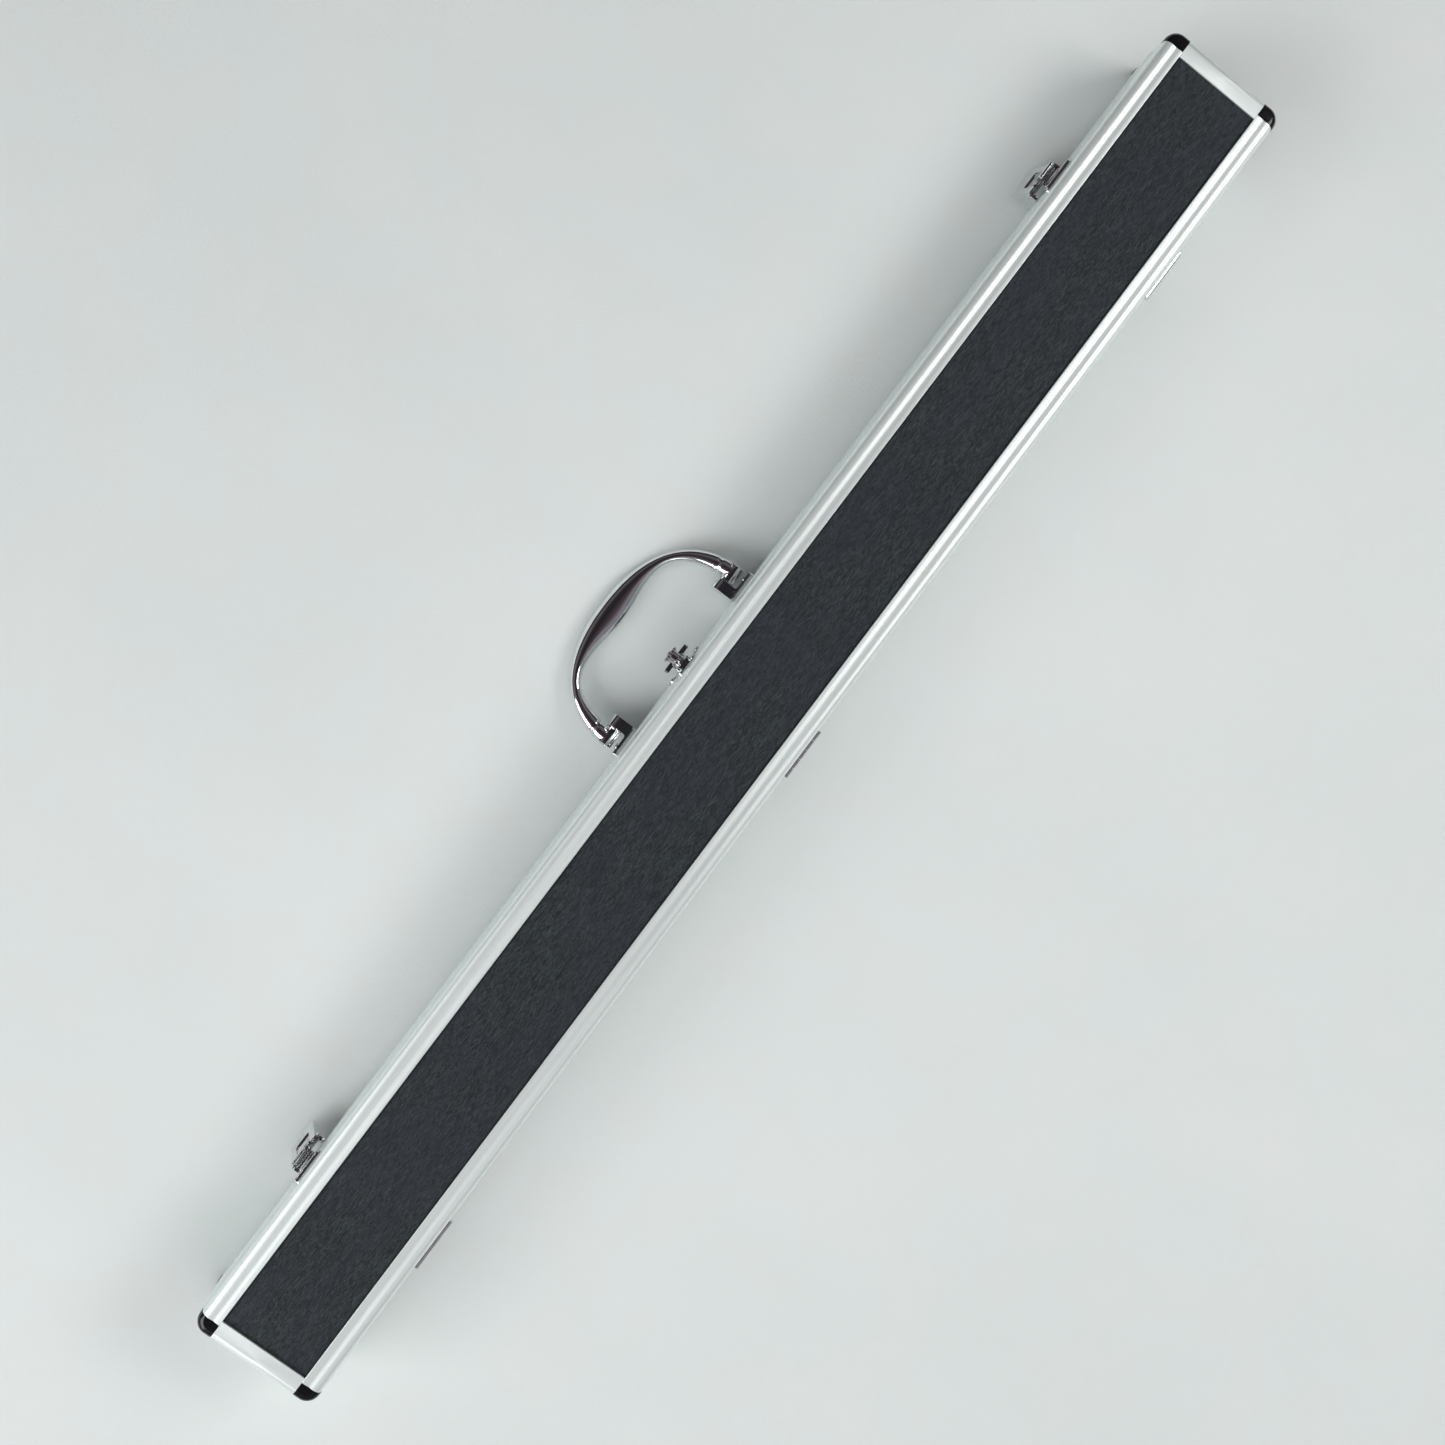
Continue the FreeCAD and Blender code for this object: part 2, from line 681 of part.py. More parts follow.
def make_latch(name, station):
    """A toggle latch: plate with ears, lever and claw on the base, keeper on the lid."""
    pivot = (out("lever_pivot_out"), "lever_pivot_up")
    claw_pivot = (out("claw_pivot_out"), "claw_pivot_up")

    plate = Piece(f"latch_{name}_plate")
    plate.box(around(station, "latch_half"), front("0", "plate_thick"),
              ("plate_low", "plate_high"))
    for way in (-1, 1):
        ear = span(way, "latch_half - ear_thick", "latch_half")
        ear = tuple(f"{station} + ({side})" for side in ear)
        plate.box(ear, front("plate_thick / 2", "ear_out"), ("ear_low", "plate_high"))
        plate.box(ear, front("plate_thick", "ear_out"), ("ear_low", "ear_high"))
        ear_middle = f"{station} + {way} * (latch_half - ear_thick / 2)"
        plate.fillet("ear_low_round", (ear_middle, out("ear_out"), "ear_low"))
        plate.fillet("ear_high_round", (ear_middle, out("ear_out"), "ear_high"))
    plate.rod("x", around(station, "latch_half + cut_past"), pivot, "lever_pin_radius", cut=True)
    for x, z in rail_rivets(HALVES[0], -1):
        if abs(value(x) - value(station)) < value("latch_half"):
            plate.rod("y", front("-cut_past", "plate_thick + cut_past"), (x, z),
                      "rivet_radius", cut=True)

    lever_pin = Piece(f"latch_{name}_lever_pin")
    lever_pin.rod("x", around(station, "latch_half"), pivot, "lever_pin_radius")
    make_lever(name, station, pivot, claw_pivot)
    claw_pin = Piece(f"latch_{name}_claw_pin")
    claw_pin.rod("x", around(station, "lever_half"), claw_pivot, "claw_pin_radius")

    claw = Piece(f"latch_{name}_claw")
    claw.box(around(station, "claw_half"), front("claw_pivot_out", "claw_pivot_out + claw_thick"),
             ("claw_pivot_up", "claw_top"))
    claw.rod("x", around(station, "claw_half"), claw_pivot, "claw_eye")
    claw.rod("x", around(station, "claw_half"), (out("claw_pivot_out + claw_thick"), "claw_top"),
             "claw_thick")
    claw.rod("x", around(station, "claw_half + cut_past"), claw_pivot,
             "claw_pin_radius + running_gap", cut=True)

    keeper = Piece(f"latch_{name}_keeper")
    keeper.box(around(station, "latch_half"), front("0", "plate_thick"),
               ("keeper_low", "keeper_high"))
    keeper.fillet("keeper_round", *[
        (f"{station} + {way} * latch_half", out("plate_thick / 2"), "keeper_high")
        for way in (-1, 1)])
    lug = around(station, "claw_half")
    keeper.box(lug, front("plate_thick / 2", "lug_out"), ("lug_low", "lug_low + lug_floor"))
    keeper.box(lug, front("lug_out - lug_thick", "lug_out"), ("lug_low", "lug_lip"))
    keeper.fillet("lug_round", (station, out("lug_out"), "lug_low"))
    for x, z in rail_rivets(HALVES[1], -1):
        if abs(value(x) - value(station)) < value("latch_half"):
            keeper.rod("y", front("-cut_past", "plate_thick + cut_past"), (x, z),
                       "rivet_radius", cut=True)


def make_lever(name, station, pivot, claw_pivot):
    """The latch lever: a folded channel that slopes outwards to its finger end, with a slot
    for the claw."""
    hollow_toe = "lever_toe_out - lever_wall - lever_hollow_lean"
    outer = [("lever_back_out", "lever_back_low"), ("lever_back_out", "lever_back_high"),
             ("lever_top_back", "lever_top_up"), ("lever_top_front", "lever_top_up"),
             ("lever_toe_out", "lever_toe_up + lever_toe_tall"),
             ("lever_toe_out", "lever_toe_up"),
             ("lever_toe_out - lever_toe_thick", "lever_toe_up")]
    inner = [("lever_back_out - cut_past", "lever_back_low"),
             ("lever_back_out - cut_past", "lever_top_up + cut_past"),
             ("lever_top_front - lever_wall", "lever_top_up + cut_past"),
             (hollow_toe, "lever_toe_up + lever_hollow_rise"),
             (f"{hollow_toe} - lever_toe_thick", "lever_toe_up + lever_hollow_rise")]
    lever = Piece(f"latch_{name}_lever")
    sides = [(out(d), z) for d, z in outer]
    hollow = [(out(d), z) for d, z in inner]
    lever.pad("YZ_Plane", sides, "2 * lever_half")
    lever.pad("YZ_Plane", hollow, "2 * (lever_half - lever_wall)", cut=True)
    lever.box(around("0", "slot_half"), front("0", "lever_toe_out + cut_past"),
              ("slot_low", "lever_top_up + cut_past"), cut=True)
    lever.rod("x", around("0", "lever_half + cut_past"), pivot,
              "lever_pin_radius + running_gap", cut=True)
    lever.rod("x", around("0", "lever_half + cut_past"), claw_pivot, "claw_pin_radius", cut=True)
    lever.body.Placement.Base.x = value(station)
    bind(lever.body, ".Placement.Base.x", station)


def make_lock():
    """The middle lock: plate and housing on the base, a winged knob with its cam, and the
    strike on the lid."""
    height = around("lock_up", "lock_plate_half")
    plate = Piece("lock_plate")
    plate.box(around("0", "lock_half"), front("0", "lock_plate_thick"), height)
    plate.fillet("lock_plate_round", *[
        (f"{way} * lock_half", out("lock_plate_thick / 2"), side)
        for way in (-1, 1) for side in height])
    for way in (-1, 1):
        plate.rod("y", front("-cut_past", "lock_plate_thick + cut_past"),
                  (f"{way} * lock_rivet_spread", "lock_up"), "rivet_radius", cut=True)

    housing = Piece("lock_housing")
    housing.box(around("0", "housing_half"), front("lock_plate_thick", "housing_out"),
                around("lock_up", "lock_plate_half"))
    housing.rod("y", front("lock_plate_thick", "housing_out + cut_past"), ("0", "lock_up"),
                "spindle_radius + running_gap", cut=True)

    cam = Piece("lock_cam")
    cam.box(around("0", "cam_half"), front("cam_start", "cam_end"),
            ("lock_up", "lock_up + cam_reach"))
    cam.rod("y", front("cam_start", "cam_end"), ("0", "lock_up"), "knob_radius")
    cam.rod("y", front("cam_start - cut_past", "cam_end + cut_past"), ("0", "lock_up"),
            "spindle_radius", cut=True)

    knob = Piece("lock_knob")
    knob.rod("y", front("lock_plate_thick + spindle_clear", "wing_end"), ("0", "lock_up"),
             "spindle_radius")
    knob.rod("y", front("cam_end", "knob_out"), ("0", "lock_up"), "knob_radius")
    knob.fillet("knob_round", ("0", out("knob_out"), "lock_up + knob_radius"))
    knob.box(around("0", "wing_half"), front("wing_start", "wing_end"),
             around("lock_up", "wing_thick"))
    knob.fillet("wing_round", *[
        (f"{way} * wing_half", out("(wing_start + wing_end) / 2"), side)
        for way in (-1, 1) for side in around("lock_up", "wing_thick")])
    knob.box(around("0", "key_slot_wide / 2"),
             front("knob_out - key_slot_deep", "knob_out + cut_past"),
             around("lock_up", "key_slot_long / 2"), cut=True)

    strike = Piece("lock_strike")
    strike.box(around("0", "strike_half"), front("0", "plate_thick"),
               ("keeper_low", "strike_high"))
    strike.fillet("strike_round", *[
        (f"{way} * strike_half", out("plate_thick / 2"), "strike_high") for way in (-1, 1)])
    strike.box(around("0", "catch_half"), front("plate_thick / 2", "catch_out"),
               ("keeper_low", "catch_high"))
    for x, z in rail_rivets(HALVES[1], -1):
        if abs(value(x)) < value("strike_half"):
            strike.rod("y", front("-cut_past", "plate_thick + cut_past"), (x, z),
                       "rivet_radius", cut=True)


def check_and_write():
    """Refuse any failed object or piece, then write one file for each piece."""
    doc.recompute()
    failed = [o.Label for o in doc.Objects if {"Invalid", "Error"} & set(o.State)]
    if failed:
        raise RuntimeError("failed objects: " + ", ".join(failed))
    for piece in pieces:
        if piece.Shape.isNull() or not piece.Shape.isValid():
            raise RuntimeError("bad shape: " + piece.Label)
    os.makedirs("parts", exist_ok=True)
    for piece in pieces:
        piece.Shape.exportStep(f"parts/{piece.Label}.step")


fill_sheet()
for half in HALVES:
    make_rails(half)
    make_corners(half)
    make_panel(half)
    make_foam(half)
    make_rivets(half)
for number, station in enumerate(("latch_station", "0", "-latch_station"), start=1):
    make_hinge(number, station)
for name, sign in (("left", 1), ("right", -1)):
    make_bracket(name, sign)
    make_latch(name, f"{sign} * latch_station")
make_handle()
make_lock()
check_and_write()
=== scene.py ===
"""Looks of the cue case: satin aluminium rails, black corner caps, grained panels, chromed
hardware and flocked foam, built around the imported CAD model.

The builders below work in millimetres, in the CAD's frame: X along the case, -Y the front with
the handle and latches, Z up. make_object turns them into metres.
"""
import json
import math
import bpy
import bmesh
from mathutils import Matrix, Vector, noise

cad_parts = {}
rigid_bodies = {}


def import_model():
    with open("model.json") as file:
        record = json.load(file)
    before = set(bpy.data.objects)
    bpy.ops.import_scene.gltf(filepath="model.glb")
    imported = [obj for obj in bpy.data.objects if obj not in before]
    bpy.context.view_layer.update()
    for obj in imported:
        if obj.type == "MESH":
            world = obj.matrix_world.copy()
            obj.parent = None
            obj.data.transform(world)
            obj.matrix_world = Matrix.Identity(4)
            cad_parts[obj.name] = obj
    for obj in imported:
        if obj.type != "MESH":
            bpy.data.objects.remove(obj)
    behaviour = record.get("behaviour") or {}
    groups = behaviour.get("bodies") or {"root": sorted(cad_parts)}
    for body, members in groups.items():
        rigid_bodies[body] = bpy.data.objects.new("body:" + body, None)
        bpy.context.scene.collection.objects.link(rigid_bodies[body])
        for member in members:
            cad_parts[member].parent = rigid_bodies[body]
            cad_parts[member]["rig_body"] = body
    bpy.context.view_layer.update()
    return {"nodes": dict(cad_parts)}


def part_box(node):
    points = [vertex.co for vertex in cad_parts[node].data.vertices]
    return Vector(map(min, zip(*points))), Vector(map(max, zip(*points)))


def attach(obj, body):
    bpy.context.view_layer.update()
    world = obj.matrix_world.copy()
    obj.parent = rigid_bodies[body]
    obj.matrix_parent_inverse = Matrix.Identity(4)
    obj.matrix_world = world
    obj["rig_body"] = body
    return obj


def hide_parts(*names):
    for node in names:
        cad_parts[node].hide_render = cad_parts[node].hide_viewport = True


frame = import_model()

MM = 0.001
ARC_STEP = math.radians(8)
CIRCLE_STEPS = 48
SHARP_ANGLE = math.radians(32)
CUT_PAST = 1  # how far a cutting solid reaches past the solid that it cuts
AXIS_RADIUS = 0.05  # of a turned solid's ends, so that they close without a point
BODY_OF = {node: obj["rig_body"] for node, obj in frame["nodes"].items()}


def box_mm(node):
    """Lowest and highest corner of a CAD node, in millimetres."""
    low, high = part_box(node)
    return low / MM, high / MM


# ------------ sizes from the CAD boxes
CAP_LOW, CAP_HIGH = box_mm("base_cap_back_left")
HALF_LENGTH = CAP_HIGH.x
HALF_WIDTH = CAP_HIGH.y
CAP_X = CAP_LOW.x
CAP_Y = CAP_LOW.y
CAP_DEEP = CAP_HIGH.z
CASE_HEIGHT = box_mm("lid_cap_back_left")[1].z
PARTING = CASE_HEIGHT / 2
PARTING_GAP = box_mm("lid_front_rail")[0].z - PARTING
BEAD_PROUD = -box_mm("base_front_rail")[0].y - HALF_WIDTH
LIP = HALF_WIDTH + box_mm("base_front_rail")[1].y
COVER_LOW, COVER_HIGH = box_mm("base_panel_cover")
BOARD_HIGH = box_mm("base_panel_board")[1]
WALL = COVER_LOW.z
TONGUE_TOP = box_mm("base_front_rail")[1].z

# sizes that the boxes don't give
EDGE_ROUND = 4.5
CORNER_ROUND = 7
BEAD_TALL = 1.6
LEDGE_THICK = 1.0
LEDGE_REACH = 6.5
TONGUE_GAP = 0.3
TONGUE_THICK = 1.2
TONGUE_ROOT = 7
CAP_PROUD = 0.3

# the lip's groove, wider and softer than in the CAD
GROOVE_MIDDLE = 7.0
GROOVE_HALF = 2.1
GROOVE_DEEP = 0.42
GROOVE_EDGE_ROUND = 5.0
GROOVE_FLOOR_ROUND = 3.5


class Half:
    """Heights in one half of the case, as level under its outer face or rise from the parting."""

    def __init__(self, name):
        self.name = name
        self.up = name == "lid"

    def level(self, depth):
        return CASE_HEIGHT - depth if self.up else depth

    def rise(self, distance):
        return PARTING + distance if self.up else PARTING - distance


HALVES = (Half("base"), Half("lid"))


# ------------ mesh building
def link_object(name, data):
    """A new object of the scene that holds this data."""
    obj = bpy.data.objects.new(name, data)
    bpy.context.scene.collection.objects.link(obj)
    return obj


def make_object(name, points, faces):
    """A mesh object from points in millimetres, with its faces turned outwards."""
    mesh = bpy.data.meshes.new(name)
    mesh.from_pydata([Vector(point) * MM for point in points], [], faces)
    work = bmesh.new()
    work.from_mesh(mesh)
    bmesh.ops.recalc_face_normals(work, faces=work.faces)
    work.to_mesh(mesh)
    work.free()
    return link_object(name, mesh)


def rounded(corners):
    """A closed outline from (a, b) or (a, b, radius) corners, the latter turned into arcs."""
    line = []
    for index, corner in enumerate(corners):
        place = Vector(corner[:2])
        if len(corner) < 3:
            line.append(place)
            continue
        back = (Vector(corners[index - 1][:2]) - place).normalized()
        ahead = (Vector(corners[(index + 1) % len(corners)][:2]) - place).normalized()
        opening = back.angle(ahead)
        centre = place + (back + ahead).normalized() * corner[2] / math.sin(opening / 2)
        start = place + back * corner[2] / math.tan(opening / 2) - centre
        turn = math.copysign(math.pi - opening, ahead.cross(back))
        steps = max(2, math.ceil(abs(turn) / ARC_STEP))
        for step in range(steps + 1):
            line.append(centre + Matrix.Rotation(turn * step / steps, 2) @ start)
    return line


def slab_outline(middle, half, levels, radii):
    """A rectangle between two levels, with a radius for its low corners and one for its high."""
    (low, high), (low_round, high_round) = levels, radii
    return rounded([(middle - half, low, low_round), (middle + half, low, low_round),
                    (middle + half, high, high_round), (middle - half, high, high_round)])


def circle(middle, radius, steps=CIRCLE_STEPS):
    """A closed round outline."""
    return [Vector((middle[0] + radius * math.cos(math.tau * step / steps),
                    middle[1] + radius * math.sin(math.tau * step / steps)))
            for step in range(steps)]


def fluted(middle, radius, deep, lobes):
    """A closed round outline with shallow hollows between its lobes."""
    line = []
    for point in circle((0, 0), 1, lobes * 8):
        turn = math.atan2(point.y, point.x) * lobes
        line.append(Vector(middle) + point * (radius - deep * (0.5 - 0.5 * math.cos(turn)) ** 2))
    return line


def tube_faces(rows, count):
    """Faces that join equal rings of points in order, and close both ends."""
    faces = []
    for row in range(rows - 1):
        for index in range(count):
            ahead = (index + 1) % count
            faces.append((row * count + index, row * count + ahead,
                          (row + 1) * count + ahead, (row + 1) * count + index))
    faces.append(tuple(range(count)))
    faces.append(tuple(range((rows - 1) * count, rows * count)))
    return faces


def swept(stations, outline):
    """Points of an outline of (outward, height) carried along stations, each a place in plan
    and the way outwards from the case there."""
    return [(place[0] + way[0] * out, place[1] + way[1] * out, height)
            for place, way in stations for out, height in outline]


def sweep(name, stations, outline):
    """The closed solid of an outline carried along stations."""
    return make_object(name, swept(stations, outline), tube_faces(len(stations), len(outline)))


def on_axis(axis, level, a, b):
    """A point from its level on an axis and its places on the other two, in their order."""
    return {"x": (level, a, b), "y": (a, level, b), "z": (a, b, level)}[axis]


def prism(name, axis, outline, low, high):
    """An outline across an axis, carried from one level on it to another."""
    points = [on_axis(axis, level, a, b) for level in (low, high) for a, b in outline]
    return make_object(name, points, tube_faces(2, len(outline)))


def lathe(name, axis, middle, profile):
    """A turned solid: (radius, level) points carried round an axis, with closed ends."""
    points = [on_axis(axis, level, a, b) for radius, level in profile
              for a, b in circle(middle, radius)]
    return make_object(name, points, tube_faces(len(profile), CIRCLE_STEPS))


def dome(radius, tall, base, way):
    """Profile of a low rivet head that stands on a base level, as (radius, level) points: a
    short upright rim under a quarter of an ellipse."""
    steps, rim, tip = 7, 0.12, 0.02
    turns = [math.pi / 2 * step / steps for step in range(steps + 1)]
    return [(radius, base)] + [
        (max(radius * math.cos(turn), tip),
         base + way * tall * (rim + (1 - rim) * math.sin(turn))) for turn in turns]


def merge(target, other, operation):
    """Join another mesh to the target, or cut it from the target, and remove it."""
    modifier = target.modifiers.new("Merge", "BOOLEAN")
    modifier.operation = operation
    modifier.solver = "EXACT"
    modifier.object = other
    graph = bpy.context.evaluated_depsgraph_get()
    target.data = bpy.data.meshes.new_from_object(target.evaluated_get(graph))
    target.modifiers.clear()
    bpy.data.objects.remove(other)


def solid(first, adds=(), cuts=()):
    """The first solid with others joined to it and then others cut from it."""
    for other in adds:
        merge(first, other, "UNION")
    for other in cuts:
        merge(first, other, "DIFFERENCE")
    return first


def grouped(name, objects):
    """Several separate solids as one object."""
    work = bmesh.new()
    for obj in objects:
        work.from_mesh(obj.data)
        bpy.data.objects.remove(obj)
    mesh = bpy.data.meshes.new(name)
    work.to_mesh(mesh)
    work.free()
    return link_object(name, mesh)


def settle(obj, node, look, ease=0.0):
    """Ease the sharp edges, smooth the shading, and let the object stand for its CAD node. A
    look is a slot's name, which is not used, and its material."""
    slot, material = look
    obj.name = "fine_" + node
    obj.data.shade_smooth()
    if ease:
        bevel = obj.modifiers.new("Ease", "BEVEL")
        bevel.width = ease * MM
        bevel.segments = 3
        bevel.limit_method = "ANGLE"
        bevel.angle_limit = SHARP_ANGLE
        bevel.harden_normals = True
    else:
        obj.data.set_sharp_from_angle(angle=SHARP_ANGLE)
        obj.modifiers.new("Flats", "WEIGHTED_NORMAL").keep_sharp = True
    obj.data.materials.append(material)
    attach(obj, BODY_OF[node])
    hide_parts(node)


# ------------ materials
def set_range(node, *numbers):
    """Set the two ranges of a Map Range node."""
    for socket, number in zip(("From Min", "From Max", "To Min", "To Max"), numbers):
        node.inputs[socket].default_value = number


class Shader:
    """One procedural material, with short ways to add and link its nodes. Coordinates are the
    piece's own, in millimetres."""

    def __init__(self, name, **sockets):
        self.material = bpy.data.materials.new(name)
        self.material.use_nodes = True
        self.tree = self.material.node_tree
        self.surface = self.tree.nodes["Principled BSDF"]
        place = self.add("TexCoord").outputs["Object"]
        self.place = self.scaled(place, 1 / MM)
        for socket, value in sockets.items():
            self.feed(socket.replace("_", " "), value)

    def add(self, kind, **settings):
        """A new node with some of its settings."""
        node = self.tree.nodes.new("ShaderNode" + kind)
        for setting, value in settings.items():
            setattr(node, setting, value)
        return node

    def put(self, socket, value):
        """Link a socket into another, or set its value."""
        if isinstance(value, bpy.types.NodeSocket):
            self.tree.links.new(value, socket)
        else:
            socket.default_value = value

    def feed(self, socket, value):
        """Link or set a socket of the surface shader."""
        self.put(self.surface.inputs[socket], value)

    def across(self, axis):
        """The distance from the middle of the case along one axis."""
        node = self.add("SeparateXYZ")
        self.put(node.inputs[0], self.place)
        return self.math("ABSOLUTE", node.outputs[axis])

    def scaled(self, vector, factors):
        """Coordinates stretched by one factor, or by a factor on each axis."""
        node = self.add("VectorMath", operation="MULTIPLY")
        self.put(node.inputs[0], vector)
        node.inputs[1].default_value = (factors,) * 3 if isinstance(factors, float) else factors
        return node.outputs[0]

    def math(self, operation, first, second=0.0):
        """One sum on numbers or sockets; some sums use only the first."""
        node = self.add("Math", operation=operation)
        self.put(node.inputs[0], first)
        self.put(node.inputs[1], second)
        return node.outputs[0]

    def noise(self, factors, detail=3.0, distortion=0.0, roughness=0.5):
        """Fractal noise, with its cells per millimetre on each axis."""
        node = self.add("TexNoise")
        self.put(node.inputs["Vector"], self.scaled(self.place, factors))
        node.inputs["Scale"].default_value = 1.0
        node.inputs["Detail"].default_value = detail
        node.inputs["Roughness"].default_value = roughness
        node.inputs["Distortion"].default_value = distortion
        return node.outputs["Fac"]

    def cells(self, factors):
        """Cell noise: the distance to the nearest point."""
        node = self.add("TexVoronoi")
        self.put(node.inputs["Vector"], self.scaled(self.place, factors))
        node.inputs["Scale"].default_value = 1.0
        return node.outputs["Distance"]

    def remap(self, value, low, high, to_low=0.0, to_high=1.0):
        """A number carried from one range to another, and kept inside it."""
        node = self.add("MapRange")
        self.put(node.inputs["Value"], value)
        set_range(node, low, high, to_low, to_high)
        return node.outputs["Result"]

    def plus(self, value, mask, share):
        """A number with a share of a mask added."""
        return self.math("ADD", value, self.math("MULTIPLY", mask, share))

    def blend(self, factor, first, second):
        """A colour between two others."""
        node = self.add("Mix", data_type="RGBA")
        self.put(node.inputs[0], factor)
        for socket, colour in ((node.inputs[6], first), (node.inputs[7], second)):
            self.put(socket, colour if isinstance(colour, bpy.types.NodeSocket) else (*colour, 1))
        return node.outputs[2]

    def tint(self, tone, mask, share, colour):
        """A colour drawn towards another by a share of a mask."""
        return self.blend(self.math("MULTIPLY", mask, share), tone, colour)

    def relief(self, height, tall, strength=1.0, under=None):
        """A bump from a height of 0 to 1 that stands for so many millimetres."""
        node = self.add("Bump")
        node.inputs["Strength"].default_value = strength
        node.inputs["Distance"].default_value = tall * MM
        self.put(node.inputs["Height"], height)
        if under is not None:
            self.put(node.inputs["Normal"], under)
        return node.outputs["Normal"]


def aluminium(name, along):
    """Satin anodised extrusion: die lines along it, faint clouding, handling scratches."""
    shader = Shader(name, Metallic=0.62, Anisotropic=0.3, Specular_IOR_Level=0.6)
    fine, long = 2.6, 0.006
    stretch = [long if axis == along else fine for axis in "xyz"]
    lines = shader.noise(stretch, detail=4.0, roughness=0.62)
    clouds = shader.noise(0.03, detail=4.0)
    scuffs = shader.remap(shader.noise((0.9, 0.07, 0.5), detail=5.0, distortion=0.8), 0.62, 0.74)
    specks = shader.remap(shader.noise(3.2, detail=2.0), 0.66, 0.78)
    tone = shader.blend(shader.remap(lines, 0.3, 0.7), (0.81, 0.885, 0.87), (0.91, 0.975, 0.96))
    tone = shader.tint(tone, clouds, 0.35, (0.84, 0.87, 0.85))
    shader.feed("Base Color", shader.tint(tone, specks, 0.25, (0.50, 0.51, 0.50)))
    rough = shader.plus(shader.remap(lines, 0.25, 0.75, 0.34, 0.44), clouds, 0.06)
    shader.feed("Roughness", shader.plus(rough, scuffs, 0.08))
    normal = shader.relief(lines, 0.012, 0.5)
    shader.feed("Normal", shader.relief(scuffs, 0.006, 0.4, normal))
    return shader.material


def chrome():
    """Mirror plating with finger smudges, hairline scratches and a trace of orange peel."""
    shader = Shader("chrome_plate", Metallic=1.0)
    smudge = shader.noise(0.16, detail=5.0, distortion=0.6)
    hair = shader.remap(shader.noise((0.25, 2.4, 1.7), detail=4.0, distortion=0.5), 0.60, 0.72)
    shader.feed("Base Color", shader.blend(shader.remap(smudge, 0.35, 0.7),
                                           (0.86, 0.87, 0.89), (0.76, 0.765, 0.775)))
    rough = shader.remap(smudge, 0.35, 0.75, 0.035, 0.12)
    shader.feed("Roughness", shader.plus(rough, hair, 0.05))
    peel = shader.noise(0.5, detail=2.0)
    shader.feed("Normal", shader.relief(peel, 0.02, 0.25))
    return shader.material


def steel():
    """Plain bright steel with fine turning marks."""
    shader = Shader("bright_steel_marks", Metallic=1.0)
    marks = shader.noise((3.0, 0.6, 3.0), detail=4.0)
    shader.feed("Base Color", shader.blend(marks, (0.56, 0.57, 0.59), (0.76, 0.77, 0.78)))
    shader.feed("Roughness", shader.remap(marks, 0.3, 0.7, 0.14, 0.30))
    shader.feed("Normal", shader.relief(marks, 0.01, 0.4))
    return shader.material


def plastic():
    """Glossy black moulding with soft sink marks, dust and wiping scratches."""
    shader = Shader("black_moulding", Specular_IOR_Level=0.35)
    sink = shader.noise(0.12, detail=2.0)
    scratch = shader.remap(shader.noise((0.5, 3.0, 1.1), detail=5.0, distortion=1.2), 0.60, 0.72)
    dust = shader.remap(shader.noise(4.0, detail=2.0), 0.68, 0.80)
    tone = shader.blend(sink, (0.0025, 0.0025, 0.0035), (0.006, 0.006, 0.008))
    shader.feed("Base Color", shader.tint(tone, dust, 0.1, (0.06, 0.06, 0.06)))
    rough = shader.remap(sink, 0.3, 0.7, 0.14, 0.22)
    shader.feed("Roughness", shader.plus(rough, scratch, 0.16))
    shader.feed("Normal", shader.relief(sink, 0.15, 0.35))
    return shader.material


def leathercloth():
    """Charcoal grained covering: wavy streaks along the case over pebbles and soft mottling,
    with painted shade where it tucks in under the long lips."""
    shader = Shader("grained_covering", Specular_IOR_Level=0.3)
    streaks = shader.noise((0.19, 0.85, 0.7), detail=4.0, distortion=1.8, roughness=0.6)
    waves = shader.noise((0.09, 0.42, 0.4), detail=2.0, distortion=2.4)
    pebbles = shader.cells((1.5, 2.2, 2.0))
    pores = shader.noise((3.4, 4.2, 4.0), detail=2.0)
    mottle = shader.noise((0.016, 0.045, 0.04), detail=4.0)
    ridge = shader.remap(streaks, 0.38, 0.62)
    dark, light = (0.006, 0.009, 0.011), (0.040, 0.051, 0.056)
    tone = shader.tint(dark, ridge, shader.remap(waves, 0.3, 0.7, 0.35), light)
    tone = shader.blend(shader.remap(mottle, 0.35, 0.65, 0.0, 0.35), tone, (0.018, 0.021, 0.034))
    edge = HALF_WIDTH - LIP
    # painted shade: the cover goes near black along the long lips, for the shadow in the gap under
    # each lip
    painted_lip_shade = shader.remap(shader.across("Y"), edge - 1.3, edge - 0.2, 0.0, 0.9)
    shader.feed("Base Color", shader.blend(painted_lip_shade, tone, (0.002, 0.002, 0.004)))
    shader.feed("Roughness", shader.remap(ridge, 0.0, 1.0, 0.68, 0.52))
    normal = shader.relief(streaks, 0.55, 0.75)
    normal = shader.relief(pebbles, 0.12, 0.6, normal)
    shader.feed("Normal", shader.relief(pores, 0.05, 0.5, normal))
    return shader.material


